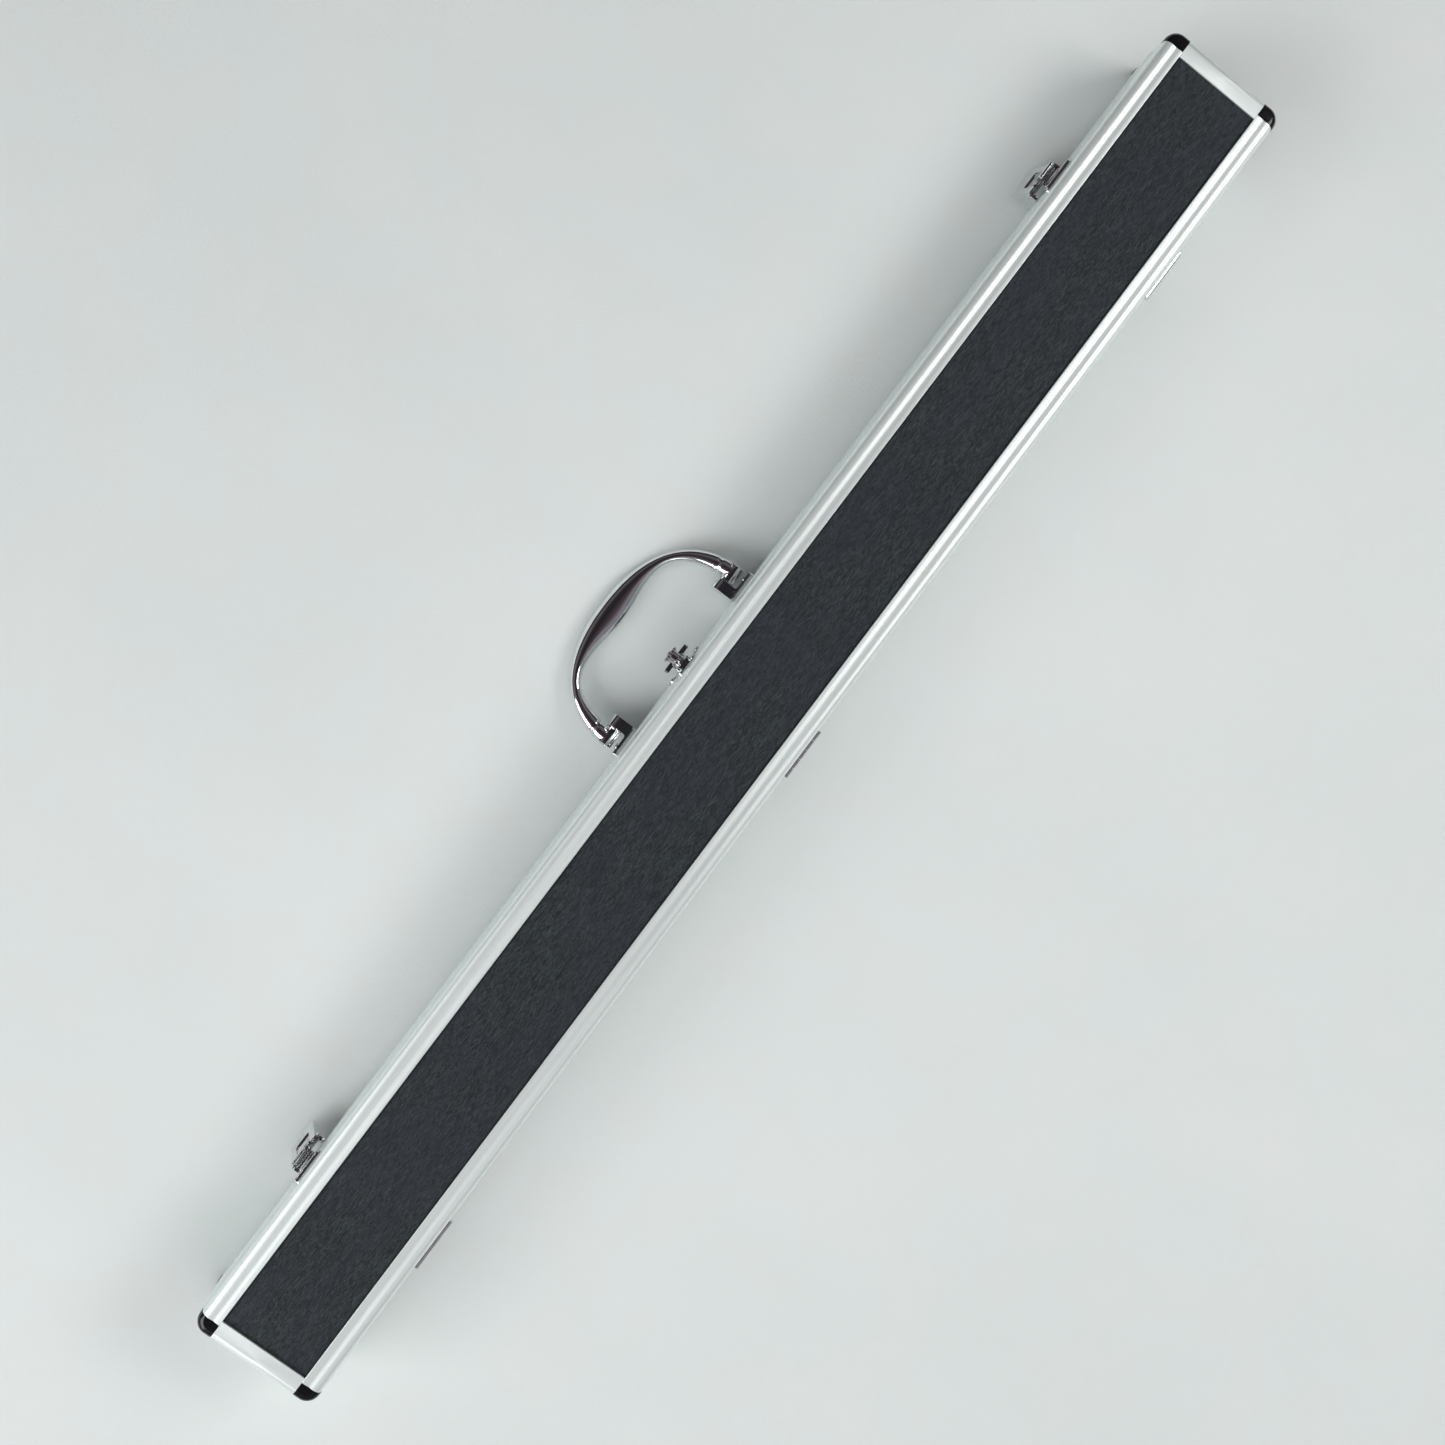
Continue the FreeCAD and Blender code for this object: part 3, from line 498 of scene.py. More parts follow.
def flock():
    """Short black pile: brushed patches, fibre speckle and a soft sheen."""
    shader = Shader("flocked_pile", Sheen_Weight=0.55, Sheen_Roughness=0.4, Specular_IOR_Level=0.15)
    brushed = shader.noise((0.05, 0.09, 0.09), detail=4.0, distortion=1.0)
    fibre = shader.noise(4.5, roughness=0.7)
    lint = shader.remap(shader.noise(1.3), 0.70, 0.80)
    tone = shader.blend(fibre, (0.006, 0.006, 0.008), (0.034, 0.034, 0.040))
    tone = shader.blend(shader.remap(brushed, 0.35, 0.65, 0.0, 0.5), tone, (0.030, 0.031, 0.037))
    shader.feed("Base Color", shader.tint(tone, lint, 0.3, (0.16, 0.16, 0.17)))
    shader.feed("Roughness", shader.remap(brushed, 0.3, 0.7, 0.82, 0.98))
    normal = shader.relief(fibre, 0.35, 0.8)
    shader.feed("Normal", shader.relief(brushed, 0.8, 0.4, normal))
    return shader.material


def pressed_board():
    """Brown pressed board with matted fibres."""
    shader = Shader("pressed_board", Specular_IOR_Level=0.25)
    fibres = shader.noise((0.5, 2.4, 2.0), detail=5.0, distortion=1.4, roughness=0.65)
    patches = shader.noise(0.03)
    tone = shader.blend(fibres, (0.20, 0.125, 0.07), (0.42, 0.29, 0.18))
    shader.feed("Base Color", shader.tint(tone, patches, 0.4, (0.26, 0.17, 0.10)))
    shader.feed("Roughness", shader.remap(fibres, 0.3, 0.7, 0.85, 0.68))
    shader.feed("Normal", shader.relief(fibres, 0.12, 0.7))
    return shader.material


def studio_cloth():
    """Pale background cloth: fine weave, clouding, and painted shading of faint folds."""
    shader = Shader("studio_cloth", Specular_IOR_Level=0.2)
    weave = shader.noise(0.9)
    clouds = shader.noise((0.006, 0.004, 0.005))
    patches = shader.noise(0.02)
    # the large clouds and patches are partly the cloth's own clouding and partly painted shade of
    # faint folds
    tone = shader.blend(shader.remap(clouds, 0.35, 0.65),
                        (0.600, 0.645, 0.635), (0.632, 0.668, 0.662))
    tone = shader.blend(shader.remap(patches, 0.45, 0.7, 0.0, 0.45), tone, (0.645, 0.65, 0.645))
    shader.feed("Base Color", shader.tint(tone, weave, 0.08, (0.56, 0.58, 0.565)))
    shader.feed("Roughness", shader.remap(weave, 0.3, 0.7, 0.85, 0.95))
    shader.feed("Normal", shader.relief(weave, 0.3, 0.35))
    return shader.material


ALUMINIUM = {axis: ("frame_aluminium", aluminium("satin_aluminium_" + axis, axis))
             for axis in "xyz"}
CHROME = ("chrome_hardware", chrome())
STEEL = ("bright_steel", steel())
PLASTIC = ("corner_plastic", plastic())
LEATHERCLOTH = ("grained_cover", leathercloth())
FLOCK = ("flocked_foam", flock())
BOARD = pressed_board()


# ------------ shell of the case
def rail_outline(half, grooved):
    """Outline of a rail: bead, wall, rounded outer edge, lip with a soft groove, and inside it
    the ledge and the base's tongue. Outward distances are from the case's side."""
    edge = half.rise(PARTING_GAP)
    bead_top = PARTING_GAP + BEAD_TALL
    ledge = BOARD_HIGH.z
    outline = [(BEAD_PROUD, edge, 0.2), (BEAD_PROUD, half.rise(bead_top), 0.45),
               (0, half.rise(bead_top + BEAD_PROUD), 0.5), (0, half.level(0), EDGE_ROUND)]
    if grooved:
        outline += [(GROOVE_HALF - GROOVE_MIDDLE, half.level(0), GROOVE_EDGE_ROUND),
                    (-GROOVE_MIDDLE, half.level(GROOVE_DEEP), GROOVE_FLOOR_ROUND),
                    (-GROOVE_HALF - GROOVE_MIDDLE, half.level(0), GROOVE_EDGE_ROUND)]
    outline += [(-LIP, half.level(0), 0.35), (-LIP, half.level(WALL), 0.3),
                (-WALL, half.level(WALL), 1.2), (-WALL, half.level(ledge)),
                (-LEDGE_REACH, half.level(ledge), 0.25),
                (-LEDGE_REACH, half.level(ledge + LEDGE_THICK), 0.25),
                (-WALL, half.level(ledge + LEDGE_THICK), 0.5)]
    if half.up:
        outline.append((-WALL, edge, 0.2))
    else:
        inside = -WALL - TONGUE_GAP - TONGUE_THICK
        outline += [(-WALL, half.rise(TONGUE_ROOT), 0.3), (inside, half.rise(TONGUE_ROOT), 0.3),
                    (inside, TONGUE_TOP, 0.3), (-WALL - TONGUE_GAP, TONGUE_TOP, 0.3),
                    (-WALL - TONGUE_GAP, edge, 0.2)]
    return rounded(outline)


def make_rails(half):
    """The two long rails and the two end rails of one half."""
    outline = rail_outline(half, True)
    for side, name in ((-1, "front"), (1, "back")):
        stations = [((sign * CAP_X, side * HALF_WIDTH), (0, side)) for sign in (-1, 1)]
        settle(sweep("rail", stations, outline), f"{half.name}_{name}_rail", ALUMINIUM["x"])
    outline = rail_outline(half, False)
    for side, name in ((-1, "right"), (1, "left")):
        stations = [((side * HALF_LENGTH, sign * CAP_Y), (side, 0)) for sign in (-1, 1)]
        settle(sweep("rail", stations, outline), f"{half.name}_{name}_rail", ALUMINIUM["y"])


def corner_path(along, across):
    """Stations round one corner of the case, from the long side to the end."""
    centre = (along * (HALF_LENGTH - CORNER_ROUND), across * (HALF_WIDTH - CORNER_ROUND))
    stations = [((along * CAP_X, across * HALF_WIDTH), (0, across))]
    steps = math.ceil(math.pi / 2 / (ARC_STEP / 2))
    for step in range(steps + 1):
        angle = math.pi / 2 * step / steps
        way = (along * math.sin(angle), across * math.cos(angle))
        place = (centre[0] + way[0] * CORNER_ROUND, centre[1] + way[1] * CORNER_ROUND)
        stations.append((place, way))
    stations.append(((along * HALF_LENGTH, across * CAP_Y), (along, 0)))
    return stations


def make_corners(half):
    """The corner posts of one half, and its four moulded caps."""
    names = {(1, -1): "front_left", (-1, -1): "front_right", (1, 1): "back_left",
             (-1, 1): "back_right"}
    edge = half.rise(PARTING_GAP)
    bead_top = PARTING_GAP + BEAD_TALL
    post = rounded([(BEAD_PROUD, edge, 0.2), (BEAD_PROUD, half.rise(bead_top), 0.45),
                    (0, half.rise(bead_top + BEAD_PROUD), 0.5), (0, half.level(CAP_DEEP)),
                    (-WALL, half.level(CAP_DEEP)), (-WALL, edge, 0.2)])
    posts = [sweep("post", corner_path(*corner), post) for corner in names]
    settle(grouped("posts", posts), f"{half.name}_corner_posts", ALUMINIUM["z"])
    for corner, name in names.items():
        settle(make_cap(half, *corner), f"{half.name}_cap_{name}", PLASTIC, ease=0.3)


def make_cap(half, along, across):
    """A moulded cap: a skin over the corner's side and rounded edge, thickened inwards."""
    arc_steps = math.ceil(math.pi / 2 / ARC_STEP)
    skin = [(CAP_PROUD, half.level(CAP_DEEP))]
    for step in range(arc_steps + 1):
        angle = math.pi / 2 * step / arc_steps
        skin.append((CAP_PROUD - EDGE_ROUND * (1 - math.cos(angle)),
                     half.level(EDGE_ROUND * (1 - math.sin(angle)))))
    stations = corner_path(along, across)
    points = swept(stations, skin)
    count = len(skin)
    faces = [(row * count + index, row * count + index + 1,
              (row + 1) * count + index + 1, (row + 1) * count + index)
             for row in range(len(stations) - 1) for index in range(count - 1)]
    points.append((along * CAP_X, across * CAP_Y, half.level(0)))
    rim = [(row + 1) * count - 1 for row in range(len(stations))]
    faces.append(tuple(rim + [len(points) - 1]))
    cap = make_object("cap", points, faces)
    thicken = cap.modifiers.new("Wall", "SOLIDIFY")
    thicken.thickness = WALL * MM
    thicken.offset = -1
    return cap


COVER_COLUMNS = 340
COVER_ROWS = 30
COVER_SLACK = 0.16
SLACK_WAVE = (37, 16)


def make_panels(half):
    """The grained cover, slightly slack between its edges, and the board under it."""
    low, high = box_mm(f"{half.name}_panel_cover")
    columns, rows = COVER_COLUMNS, COVER_ROWS
    face, back = (high.z, low.z) if half.up else (low.z, high.z)
    points = []
    for level, swell in ((face, -COVER_SLACK if half.up else COVER_SLACK), (back, 0)):
        for column in range(columns + 1):
            for row in range(rows + 1):
                part_x, part_y = column / columns, row / rows
                x = low.x + (high.x - low.x) * part_x
                y = low.y + (high.y - low.y) * part_y
                dip = 0.5 + 0.5 * noise.noise(Vector((x / SLACK_WAVE[0], y / SLACK_WAVE[1],
                                                      half.up * 9)))
                dip *= math.sin(math.pi * part_y) * min(1, 6 * part_x, 6 * (1 - part_x))
                points.append((x, y, level + swell * dip))
    wide = rows + 1
    sheet = (columns + 1) * wide
    faces = []
    for column in range(columns):
        for row in range(rows):
            first = column * wide + row
            quad = (first, first + 1, first + wide + 1, first + wide)
            faces += [quad, tuple(sheet + index for index in reversed(quad))]
    ring = list(range(wide))
    ring += [column * wide + rows for column in range(1, columns + 1)]
    ring += [columns * wide + row for row in reversed(range(rows))]
    ring += [column * wide for column in reversed(range(1, columns))]
    for index, first in enumerate(ring):
        second = ring[(index + 1) % len(ring)]
        faces.append((first, second, sheet + second, sheet + first))
    settle(make_object("cover", points, faces), f"{half.name}_panel_cover", LEATHERCLOTH)
    looks = frame["nodes"][f"{half.name}_panel_board"].data.materials
    looks.clear()
    looks.append(BOARD)


# ------------ lining
BUTT = (-13.4, 15.0)  # the channels' middles and radii
SHAFT = (17.2, 11.5)
CHANNEL_HALF = 384
CHANNEL_RAMP = 3.0
CHANNEL_LIP = 0.9
CHANNEL_STEPS = 22
FOAM_ROUND = 1.4
FOAM_STEP = 6.0
FOAM_INSET = 0.25
FOAM_UNEVEN = 0.22
FOAM_WAVE = (23, 9, 9)


def smooth_step(part):
    """Rise from 0 to 1 with level ends."""
    part = min(max(part, 0.0), 1.0)
    return part * part * (3 - 2 * part)


def foam_section(low, high, top, bottom, depth):
    """One closed section of the foam across the case: (y, z) points, with both channels sunk to
    a share of their full depth and their lips rounded over."""
    way = 1 if top > bottom else -1
    shoulder, foot = 0.5, 0.8
    points = [(low.y, bottom + way * foot), (low.y, top - way * 2 * foot),
              (low.y + shoulder, top - way * shoulder), (low.y + FOAM_ROUND, top)]
    for middle, radius in (BUTT, SHAFT):
        edge = math.acos(1 - CHANNEL_LIP / radius)
        rim = [(radius + CHANNEL_LIP, 0), (radius + CHANNEL_LIP * 0.3, CHANNEL_LIP * 0.25)]
        channel = [(-aside, down) for aside, down in rim]
        for step in range(CHANNEL_STEPS + 1):
            turn = edge / 2 + (math.pi - edge) * step / CHANNEL_STEPS
            channel.append((-radius * math.cos(turn), radius * math.sin(turn)))
        points += [(middle + aside, top - way * depth * down)
                   for aside, down in channel + rim[::-1]]
    points += [(high.y - FOAM_ROUND, top), (high.y - shoulder, top - way * shoulder),
               (high.y, top - way * 2 * foot), (high.y, bottom + way * foot),
               (high.y - foot, bottom), (low.y + foot, bottom)]
    return points


def make_foam(half):
    """The foam insert: two round-bottomed channels with soft lips, a little uneven all over."""
    node = f"{half.name}_foam"
    low, high = box_mm(node)
    top, bottom = (low.z, high.z) if half.up else (high.z, low.z)
    places = [FOAM_STEP * step for step in range(int(CHANNEL_HALF / FOAM_STEP))]
    places += [CHANNEL_HALF + CHANNEL_RAMP * step / 6 for step in range(-2, 8)]
    places += [high.x - FOAM_STEP, high.x - FOAM_ROUND, high.x - 0.4]
    places = sorted({round(sign * place, 3) for place in places for sign in (-1, 1)})
    rings = []
    for place in places:
        depth = smooth_step((CHANNEL_HALF + CHANNEL_RAMP - abs(place)) / CHANNEL_RAMP)
        shrink = max(0.0, abs(place) - (high.x - FOAM_ROUND)) / 2
        ring = []
        for y, z in foam_section(low, high, top, bottom, depth):
            spot = [number / wave for number, wave in zip((place, y, z), FOAM_WAVE)]
            uneven = FOAM_UNEVEN * noise.noise(Vector(spot) + Vector((0, 0, 40 * half.up)))
            inward = Vector((0, -y / high.y, (top + bottom) / 2 - z)).normalized()
            sink = FOAM_INSET + uneven + shrink
            ring.append((place, y + inward.y * sink, z + inward.z * sink))
        rings.append(ring)
    points = [point for ring in rings for point in ring]
    foam = make_object("foam", points, tube_faces(len(rings), len(rings[0])))
    settle(foam, node, FLOCK)


# ------------ hardware
def front(distance):
    """The Y of a point that far in front of the front wall."""
    return -HALF_WIDTH - distance


def stand_out(point):
    """How far in front of the front wall a point is."""
    return -point.y - HALF_WIDTH


def side_outline(corners):
    """A rounded outline from (distance in front, height, radius) corners, for a prism on X."""
    return rounded([(front(corner[0]), *corner[1:]) for corner in corners])


def front_slab(name, x, half_x, z, out, radii):
    """A flat plate on the front: about x, between two heights and two distances out."""
    return prism(name, "y", slab_outline(x, half_x, z, radii), front(out[1]), front(out[0]))


def cross_rod(name, ends, out, z, radius):
    """A round rod along X in front of the front wall."""
    return prism(name, "x", circle((front(out), z), radius), *ends)


def pin_axis(node):
    """The middle and the radius of a pin along X."""
    low, high = box_mm(node)
    return (low + high) / 2, (high.z - low.z) / 2


def make_pin(node):
    """A pin along X with softly domed ends."""
    middle, radius = pin_axis(node)
    low, high = (corner.x for corner in box_mm(node))
    ease = radius * 0.35
    profile = [(AXIS_RADIUS, low), (radius - ease, low), (radius, low + ease),
               (radius, high - ease), (radius - ease, high), (AXIS_RADIUS, high)]
    settle(lathe("pin", "x", (middle.y, middle.z), profile), node, STEEL)


def x_bore(middle, radius, ends):
    """The cutter of a round bore along X."""
    return prism("bore", "x", circle((middle.y, middle.z), radius), *ends)


HINGE_ROUND = 1.5
HINGE_KNUCKLES = 5
KNUCKLE_RADIUS = 2.3
KNUCKLE_GAP = 0.3
HINGE_PLAY = 0.1
PIN_PLAY = 0.05
LEAF_THICK = 0.9
LEAF_START = 2.2
LEAF_RIVET_SPREAD = 10
LEAF_RIVET_RISE = 7.9


def make_hinge(number):
    """A butt hinge: two leaves with rolled knuckles, and the pin."""
    pin_low, pin_high = box_mm(f"hinge_pin_{number}")
    middle, pin_radius = pin_axis(f"hinge_pin_{number}")
    wide = pin_high.x - pin_low.x
    step = wide / HINGE_KNUCKLES
    wall = HALF_WIDTH
    past_bead = wall + BEAD_PROUD + 0.25
    for half in HALVES:
        node = f"{half.name}_hinge_leaf_{number}"
        low, high = box_mm(node)
        reach = high.z - PARTING if half.up else PARTING - low.z
        levels = sorted((half.rise(LEAF_START), half.rise(reach)))
        radii = (0.2, HINGE_ROUND) if half.up else (HINGE_ROUND, 0.2)
        leaf = prism("leaf", "y", slab_outline(middle.x, wide / 2, levels, radii), wall,
                     wall + LEAF_THICK)
        knuckles = range(1, HINGE_KNUCKLES, 2) if half.up else range(0, HINGE_KNUCKLES, 2)
        adds = []
        for knuckle in knuckles:
            start = pin_low.x + step * knuckle + KNUCKLE_GAP / 2
            ends = (start, start + step - KNUCKLE_GAP)
            roll = rounded([
                (wall, half.rise(LEAF_START + 1.2)), (wall, half.rise(LEAF_START - 0.2)),
                (past_bead, half.rise(LEAF_START - 0.4), 0.2), (past_bead, half.rise(0)),
                (middle.y, half.rise(0)), (middle.y, half.rise(KNUCKLE_RADIUS * 0.98)),
                (wall + LEAF_THICK, half.rise(LEAF_START + 0.9), 1.0),
                (wall + LEAF_THICK, half.rise(LEAF_START + 1.2))])
            adds.append(prism("roll", "x", roll, *ends))
            adds.append(prism("knuckle", "x", circle((middle.y, middle.z), KNUCKLE_RADIUS), *ends))
        play = HINGE_PLAY if half.up else 0
        bore = x_bore(middle, pin_radius + play, (pin_low.x - CUT_PAST, pin_high.x + CUT_PAST))
        settle(solid(leaf, adds, [bore]), node, CHROME, ease=0.14)
    make_pin(f"hinge_pin_{number}")


PLATE_THICK = 1.0
LOCK_PLATE_THICK = 1.2
BRACKET_THICK = 3.2
POST_THICK = 6
STATIONS = [sum(corner.x for corner in box_mm(f"latch_{name}_plate")) / 2
            for name in ("left", "right")]
LOCK_UP = sum(corner.z for corner in box_mm("lock_plate")) / 2
RIVET_HEAD = 1.8
RIVET_TALL = 0.8
BRACKET_RIVET_SIDE = 55.4
BRACKET_RIVET_INSET = 3.6
# a plate's places on X, the distance of its rivets from there, their height, its thickness
LID_RIVETS = ((STATIONS, 7.5, 41, PLATE_THICK), ((0,), 4.9, 35.8, PLATE_THICK))
BASE_RIVETS = ((STATIONS, 4.95, 11.2, PLATE_THICK), ((0,), 10.4, LOCK_UP, LOCK_PLATE_THICK))


def make_rivets(half):
    """Domed rivet heads on all the plates of one half."""
    heads = []
    for station in [*STATIONS, 0]:
        for sign in (-1, 1):
            place = (station + sign * LEAF_RIVET_SPREAD, half.rise(LEAF_RIVET_RISE))
            heads.append(lathe("head", "y", place,
                               dome(RIVET_HEAD, RIVET_TALL, HALF_WIDTH + LEAF_THICK, 1)))
    spots = [(place + sign * spread, height, out)
             for places, spread, height, out in (LID_RIVETS if half.up else BASE_RIVETS)
             for place in places for sign in (-1, 1)]
    if not half.up:
        low, high = box_mm("handle_bracket_left")
        spots += [(sign * BRACKET_RIVET_SIDE, height, BRACKET_THICK) for sign in (-1, 1)
                  for height in (low.z + BRACKET_RIVET_INSET, high.z - BRACKET_RIVET_INSET)]
    for x, z, out in spots:
        heads.append(lathe("head", "y", (x, z), dome(RIVET_HEAD, RIVET_TALL, front(out), -1)))
    settle(grouped("rivets", heads), f"{half.name}_rivets", STEEL)


POST_ROUND = 4.5


def make_bracket(name, sign):
    """A cast L bracket: plate on the wall, round-nosed post, and the pivot pin."""
    node = f"handle_bracket_{name}"
    low, high = box_mm(node)
    post_out = stand_out(low)
    inner = low.x if sign > 0 else high.x
    outline = side_outline([(0, low.z, 0.4), (post_out, low.z, POST_ROUND),
                            (post_out, high.z, POST_ROUND), (0, high.z, 0.4)])
    post = prism("post", "x", outline, *sorted((inner, inner + sign * POST_THICK)))
    plate = front_slab("plate", (low.x + high.x) / 2, (high.x - low.x) / 2, (low.z, high.z),
                       (0, BRACKET_THICK), (1.4, 1.4))
    fillet = [(-0.5, -0.5), (-0.5, 1.6), (0, 1.2), (0.35, 0.35), (1.2, 0), (1.6, -0.5)]
    web = prism("web", "z", [(inner + sign * (POST_THICK + aside), front(BRACKET_THICK + out))
                             for aside, out in fillet], low.z + 0.6, high.z - 0.6)
    bore = x_bore(*pin_axis(f"handle_pin_{name}"),
                  sorted((inner - sign * CUT_PAST, inner + sign * (POST_THICK + CUT_PAST))))
    settle(solid(post, [plate, web], [bore]), node, CHROME, ease=0.35)
    make_pin(f"handle_pin_{name}")


HANDLE_DROOP = math.radians(10.5)
HANDLE_POWER = 2.2  # a little squarer than an ellipse
HANDLE_REACH = 46.1
HANDLE_LEG = 9.2
HANDLE_NECK = 5.8
HANDLE_GRIP = 14.6
HANDLE_THIN = 7.4
HANDLE_THICK = 10.4
HANDLE_EYE = 4.4
EYE_ROUND = 0.7
HANDLE_SIDE_GAP = 0.4
HANDLE_STATIONS = 181
HANDLE_RING = 40
NARROWEST = 0.5  # places on the bow, from 0 at an eye to 1 at the middle
LEG_FULL = 0.12
NECKING_AT = 10.0  # degrees round the bow
NECKING_HALF = 1.8
NECKING_DEEP = 0.10
RIDGE = 0.92
CREST_SHIFT = 0.3


def handle_ring(turn, half_width):
    """Points of the bow's section at an angle from 0, one leg, to 180, the other, as (x, reach,
    height). The section is an ellipse. Along the grip it is drawn in on its diagonals, and its
    upper crest is moved outwards. The legs taper, after a shallow neck beside each eye."""
    angle = math.radians(turn)
    cosine, sine = math.cos(angle), math.sin(angle)
    power = 2 / HANDLE_POWER
    x = half_width * math.copysign(abs(cosine) ** power, cosine)
    reach = HANDLE_REACH * sine ** power
    slope = Vector((math.copysign(abs(cosine) ** (2 - power), cosine) / half_width,
                    sine ** (2 - power) / HANDLE_REACH)).normalized()
    rise = min(turn, 180 - turn) / 90
    grip = smooth_step((rise - NARROWEST) / (1 - NARROWEST))
    slim = smooth_step((rise - LEG_FULL) / (NARROWEST - LEG_FULL))
    depth = HANDLE_LEG + (HANDLE_NECK - HANDLE_LEG) * slim
    depth += (HANDLE_GRIP - HANDLE_NECK) * grip
    thick = 2 * HANDLE_EYE + (HANDLE_THIN - 2 * HANDLE_EYE) * slim
    thick += (HANDLE_THICK - HANDLE_THIN) * grip
    necking = max(0.0, 1 - (abs(min(turn, 180 - turn) - NECKING_AT) / NECKING_HALF) ** 2)
    centre = Vector((x, reach)) - slope * depth / 2
    depth *= 1 - NECKING_DEEP * necking
    thick *= 1 - NECKING_DEEP * necking
    ring = []
    for step in range(HANDLE_RING):
        around = math.tau * step / HANDLE_RING
        flat = 1 - (1 - RIDGE) * grip * math.sin(2 * around) ** 2
        crest = CREST_SHIFT * grip * max(0.0, math.sin(around)) ** 2
        across = (math.cos(around) + crest) * depth / 2 * flat
        ring.append((centre.x + slope.x * across, centre.y + slope.y * across,
                     math.sin(around) * thick / 2 * flat))
    return ring


def make_handle():
    """The bow handle with its two eyes, drooping until its grip rests on the ground."""
    half_width = box_mm("handle")[1].x
    pivot, pin_radius = pin_axis("handle_pin_left")
    post_side = box_mm("handle_bracket_left")[0].x + POST_THICK
    turns = [180 * index / (HANDLE_STATIONS - 1) for index in range(HANDLE_STATIONS)]
    rings = [handle_ring(turn, half_width) for turn in turns]
    bow = make_object("bow", [(x, -reach, up) for ring in rings for x, reach, up in ring],
                      tube_faces(len(rings), HANDLE_RING))
    adds, cuts = [], []
    for sign in (-1, 1):
        inner, outer = post_side + HANDLE_SIDE_GAP, half_width - 0.3
        eye = [(AXIS_RADIUS, inner), (HANDLE_EYE - EYE_ROUND, inner),
               (HANDLE_EYE, inner + EYE_ROUND), (HANDLE_EYE, outer - EYE_ROUND),
               (HANDLE_EYE - EYE_ROUND, outer), (AXIS_RADIUS, outer)]
        adds.append(lathe("eye", "x", (0, 0), [(radius, sign * level) for radius, level in eye]))
        cuts.append(x_bore(Vector((0, 0, 0)), pin_radius + PIN_PLAY, sorted(
            (sign * (inner - CUT_PAST), sign * (half_width + CUT_PAST)))))
    handle = solid(bow, adds, cuts)
    for vertex in handle.data.vertices:
        place = Matrix.Rotation(HANDLE_DROOP, 3, "X") @ (vertex.co / MM)
        vertex.co = (place + Vector((0, pivot.y, pivot.z))) * MM
    settle(handle, "handle", CHROME, ease=0.25)


EAR_THICK = 1.2
EAR_LOW = 19.5
CLAW_THICK = 1.2
CLAW_EYE = 1.7
CLAW_WINDOW = (21.5, 30.5)
LUG_LOW = 33.5
LUG_LIP = 37
LUG_THICK = 1.5
KEEPER_BEAD = 1.8
BEAD_OUT = 2.4
BEAD_SHORT = 2.0  # the bead's ends stop this far inside the keeper's
LEVER_WALL = 1.2
LEVER_FOOT = 20.5
LEVER_INSIDE = 27.2
LEVER_OUT = (2.4, 6.8)  # how far it stands out at its foot and where its slope starts
SLOT_HALF = 5.3
SLOT_LOW = 14
SLOT_HIGH = 28
THUMB_RADIUS = 4.1


def make_latch(name):
    """A toggle latch: stamped plate with ears, folded lever, claw with a rolled hook, pins, and
    the keeper on the lid, with its lug and beaded upper edge."""
    node = f"latch_{name}_"
    low, high = box_mm(node + "plate")
    station, half = (low.x + high.x) / 2, (high.x - low.x) / 2
    ear_out, ear_start = stand_out(low), 0.3
    claw_pin, claw_pin_radius = pin_axis(node + "claw_pin")
    beyond = (station - half - CUT_PAST, station + half + CUT_PAST)

    plate = front_slab("plate", station, half, (low.z, high.z - 1), (0, PLATE_THICK), (1.6, 0.3))
    ear = side_outline([(ear_start, EAR_LOW), (ear_out, EAR_LOW, 1.6), (ear_out, high.z, 2.4),
                        (PLATE_THICK, high.z, 0.2), (PLATE_THICK, high.z - 1),
                        (ear_start, high.z - 1)])
    ears = [prism("ear", "x", ear, *sorted((station + sign * half,
                                            station + sign * (half - EAR_THICK))))
            for sign in (-1, 1)]
    bore = x_bore(*pin_axis(node + "lever_pin"), beyond)
    settle(solid(plate, ears, [bore]), node + "plate", CHROME, ease=0.25)
    make_pin(node + "lever_pin")
    make_lever(node, station, beyond)
    make_pin(node + "claw_pin")

    low, high = box_mm(node + "claw")
    ends = (low.x, high.x)
    start = stand_out(claw_pin)
    top = high.z - CLAW_THICK
    bar = prism("bar", "x", side_outline([
        (start, claw_pin.z), (start, top), (start + CLAW_THICK, top),
        (start + CLAW_THICK, claw_pin.z)]), *ends)
    eye = cross_rod("eye", ends, start, claw_pin.z, CLAW_EYE)
    curl = cross_rod("curl", ends, start + CLAW_THICK, top, CLAW_THICK)
    window = front_slab("window", station, 2.0, CLAW_WINDOW, (start - 1, start + 3), (0.9, 0.9))
    bore = x_bore(claw_pin, claw_pin_radius + PIN_PLAY, beyond)
    settle(solid(bar, [eye, curl], [window, bore]), node + "claw", CHROME, ease=0.2)

    low, high = box_mm(node + "keeper")
    lug_out = stand_out(low)
    keeper = front_slab("keeper", station, half, (low.z, high.z), (0, PLATE_THICK), (0.5, 2.5))
    lug = prism("lug", "x", side_outline([
        (ear_start, LUG_LOW), (lug_out, LUG_LOW, 1.4), (lug_out, LUG_LIP, 0.45),
        (lug_out - EAR_THICK, LUG_LIP, 0.45), (lug_out - EAR_THICK, LUG_LOW + LUG_THICK, 0.4),
        (ear_start, LUG_LOW + LUG_THICK)]), *ends)
    bead = prism("bead", "x", side_outline([
        (ear_start, high.z - KEEPER_BEAD, 0.1), (BEAD_OUT, high.z - KEEPER_BEAD, 0.5),
        (BEAD_OUT, high.z, 0.9), (ear_start, high.z, 0.1)]),
        station - half + BEAD_SHORT, station + half - BEAD_SHORT)
    settle(solid(keeper, [lug, bead]), node + "keeper", CHROME, ease=0.3)


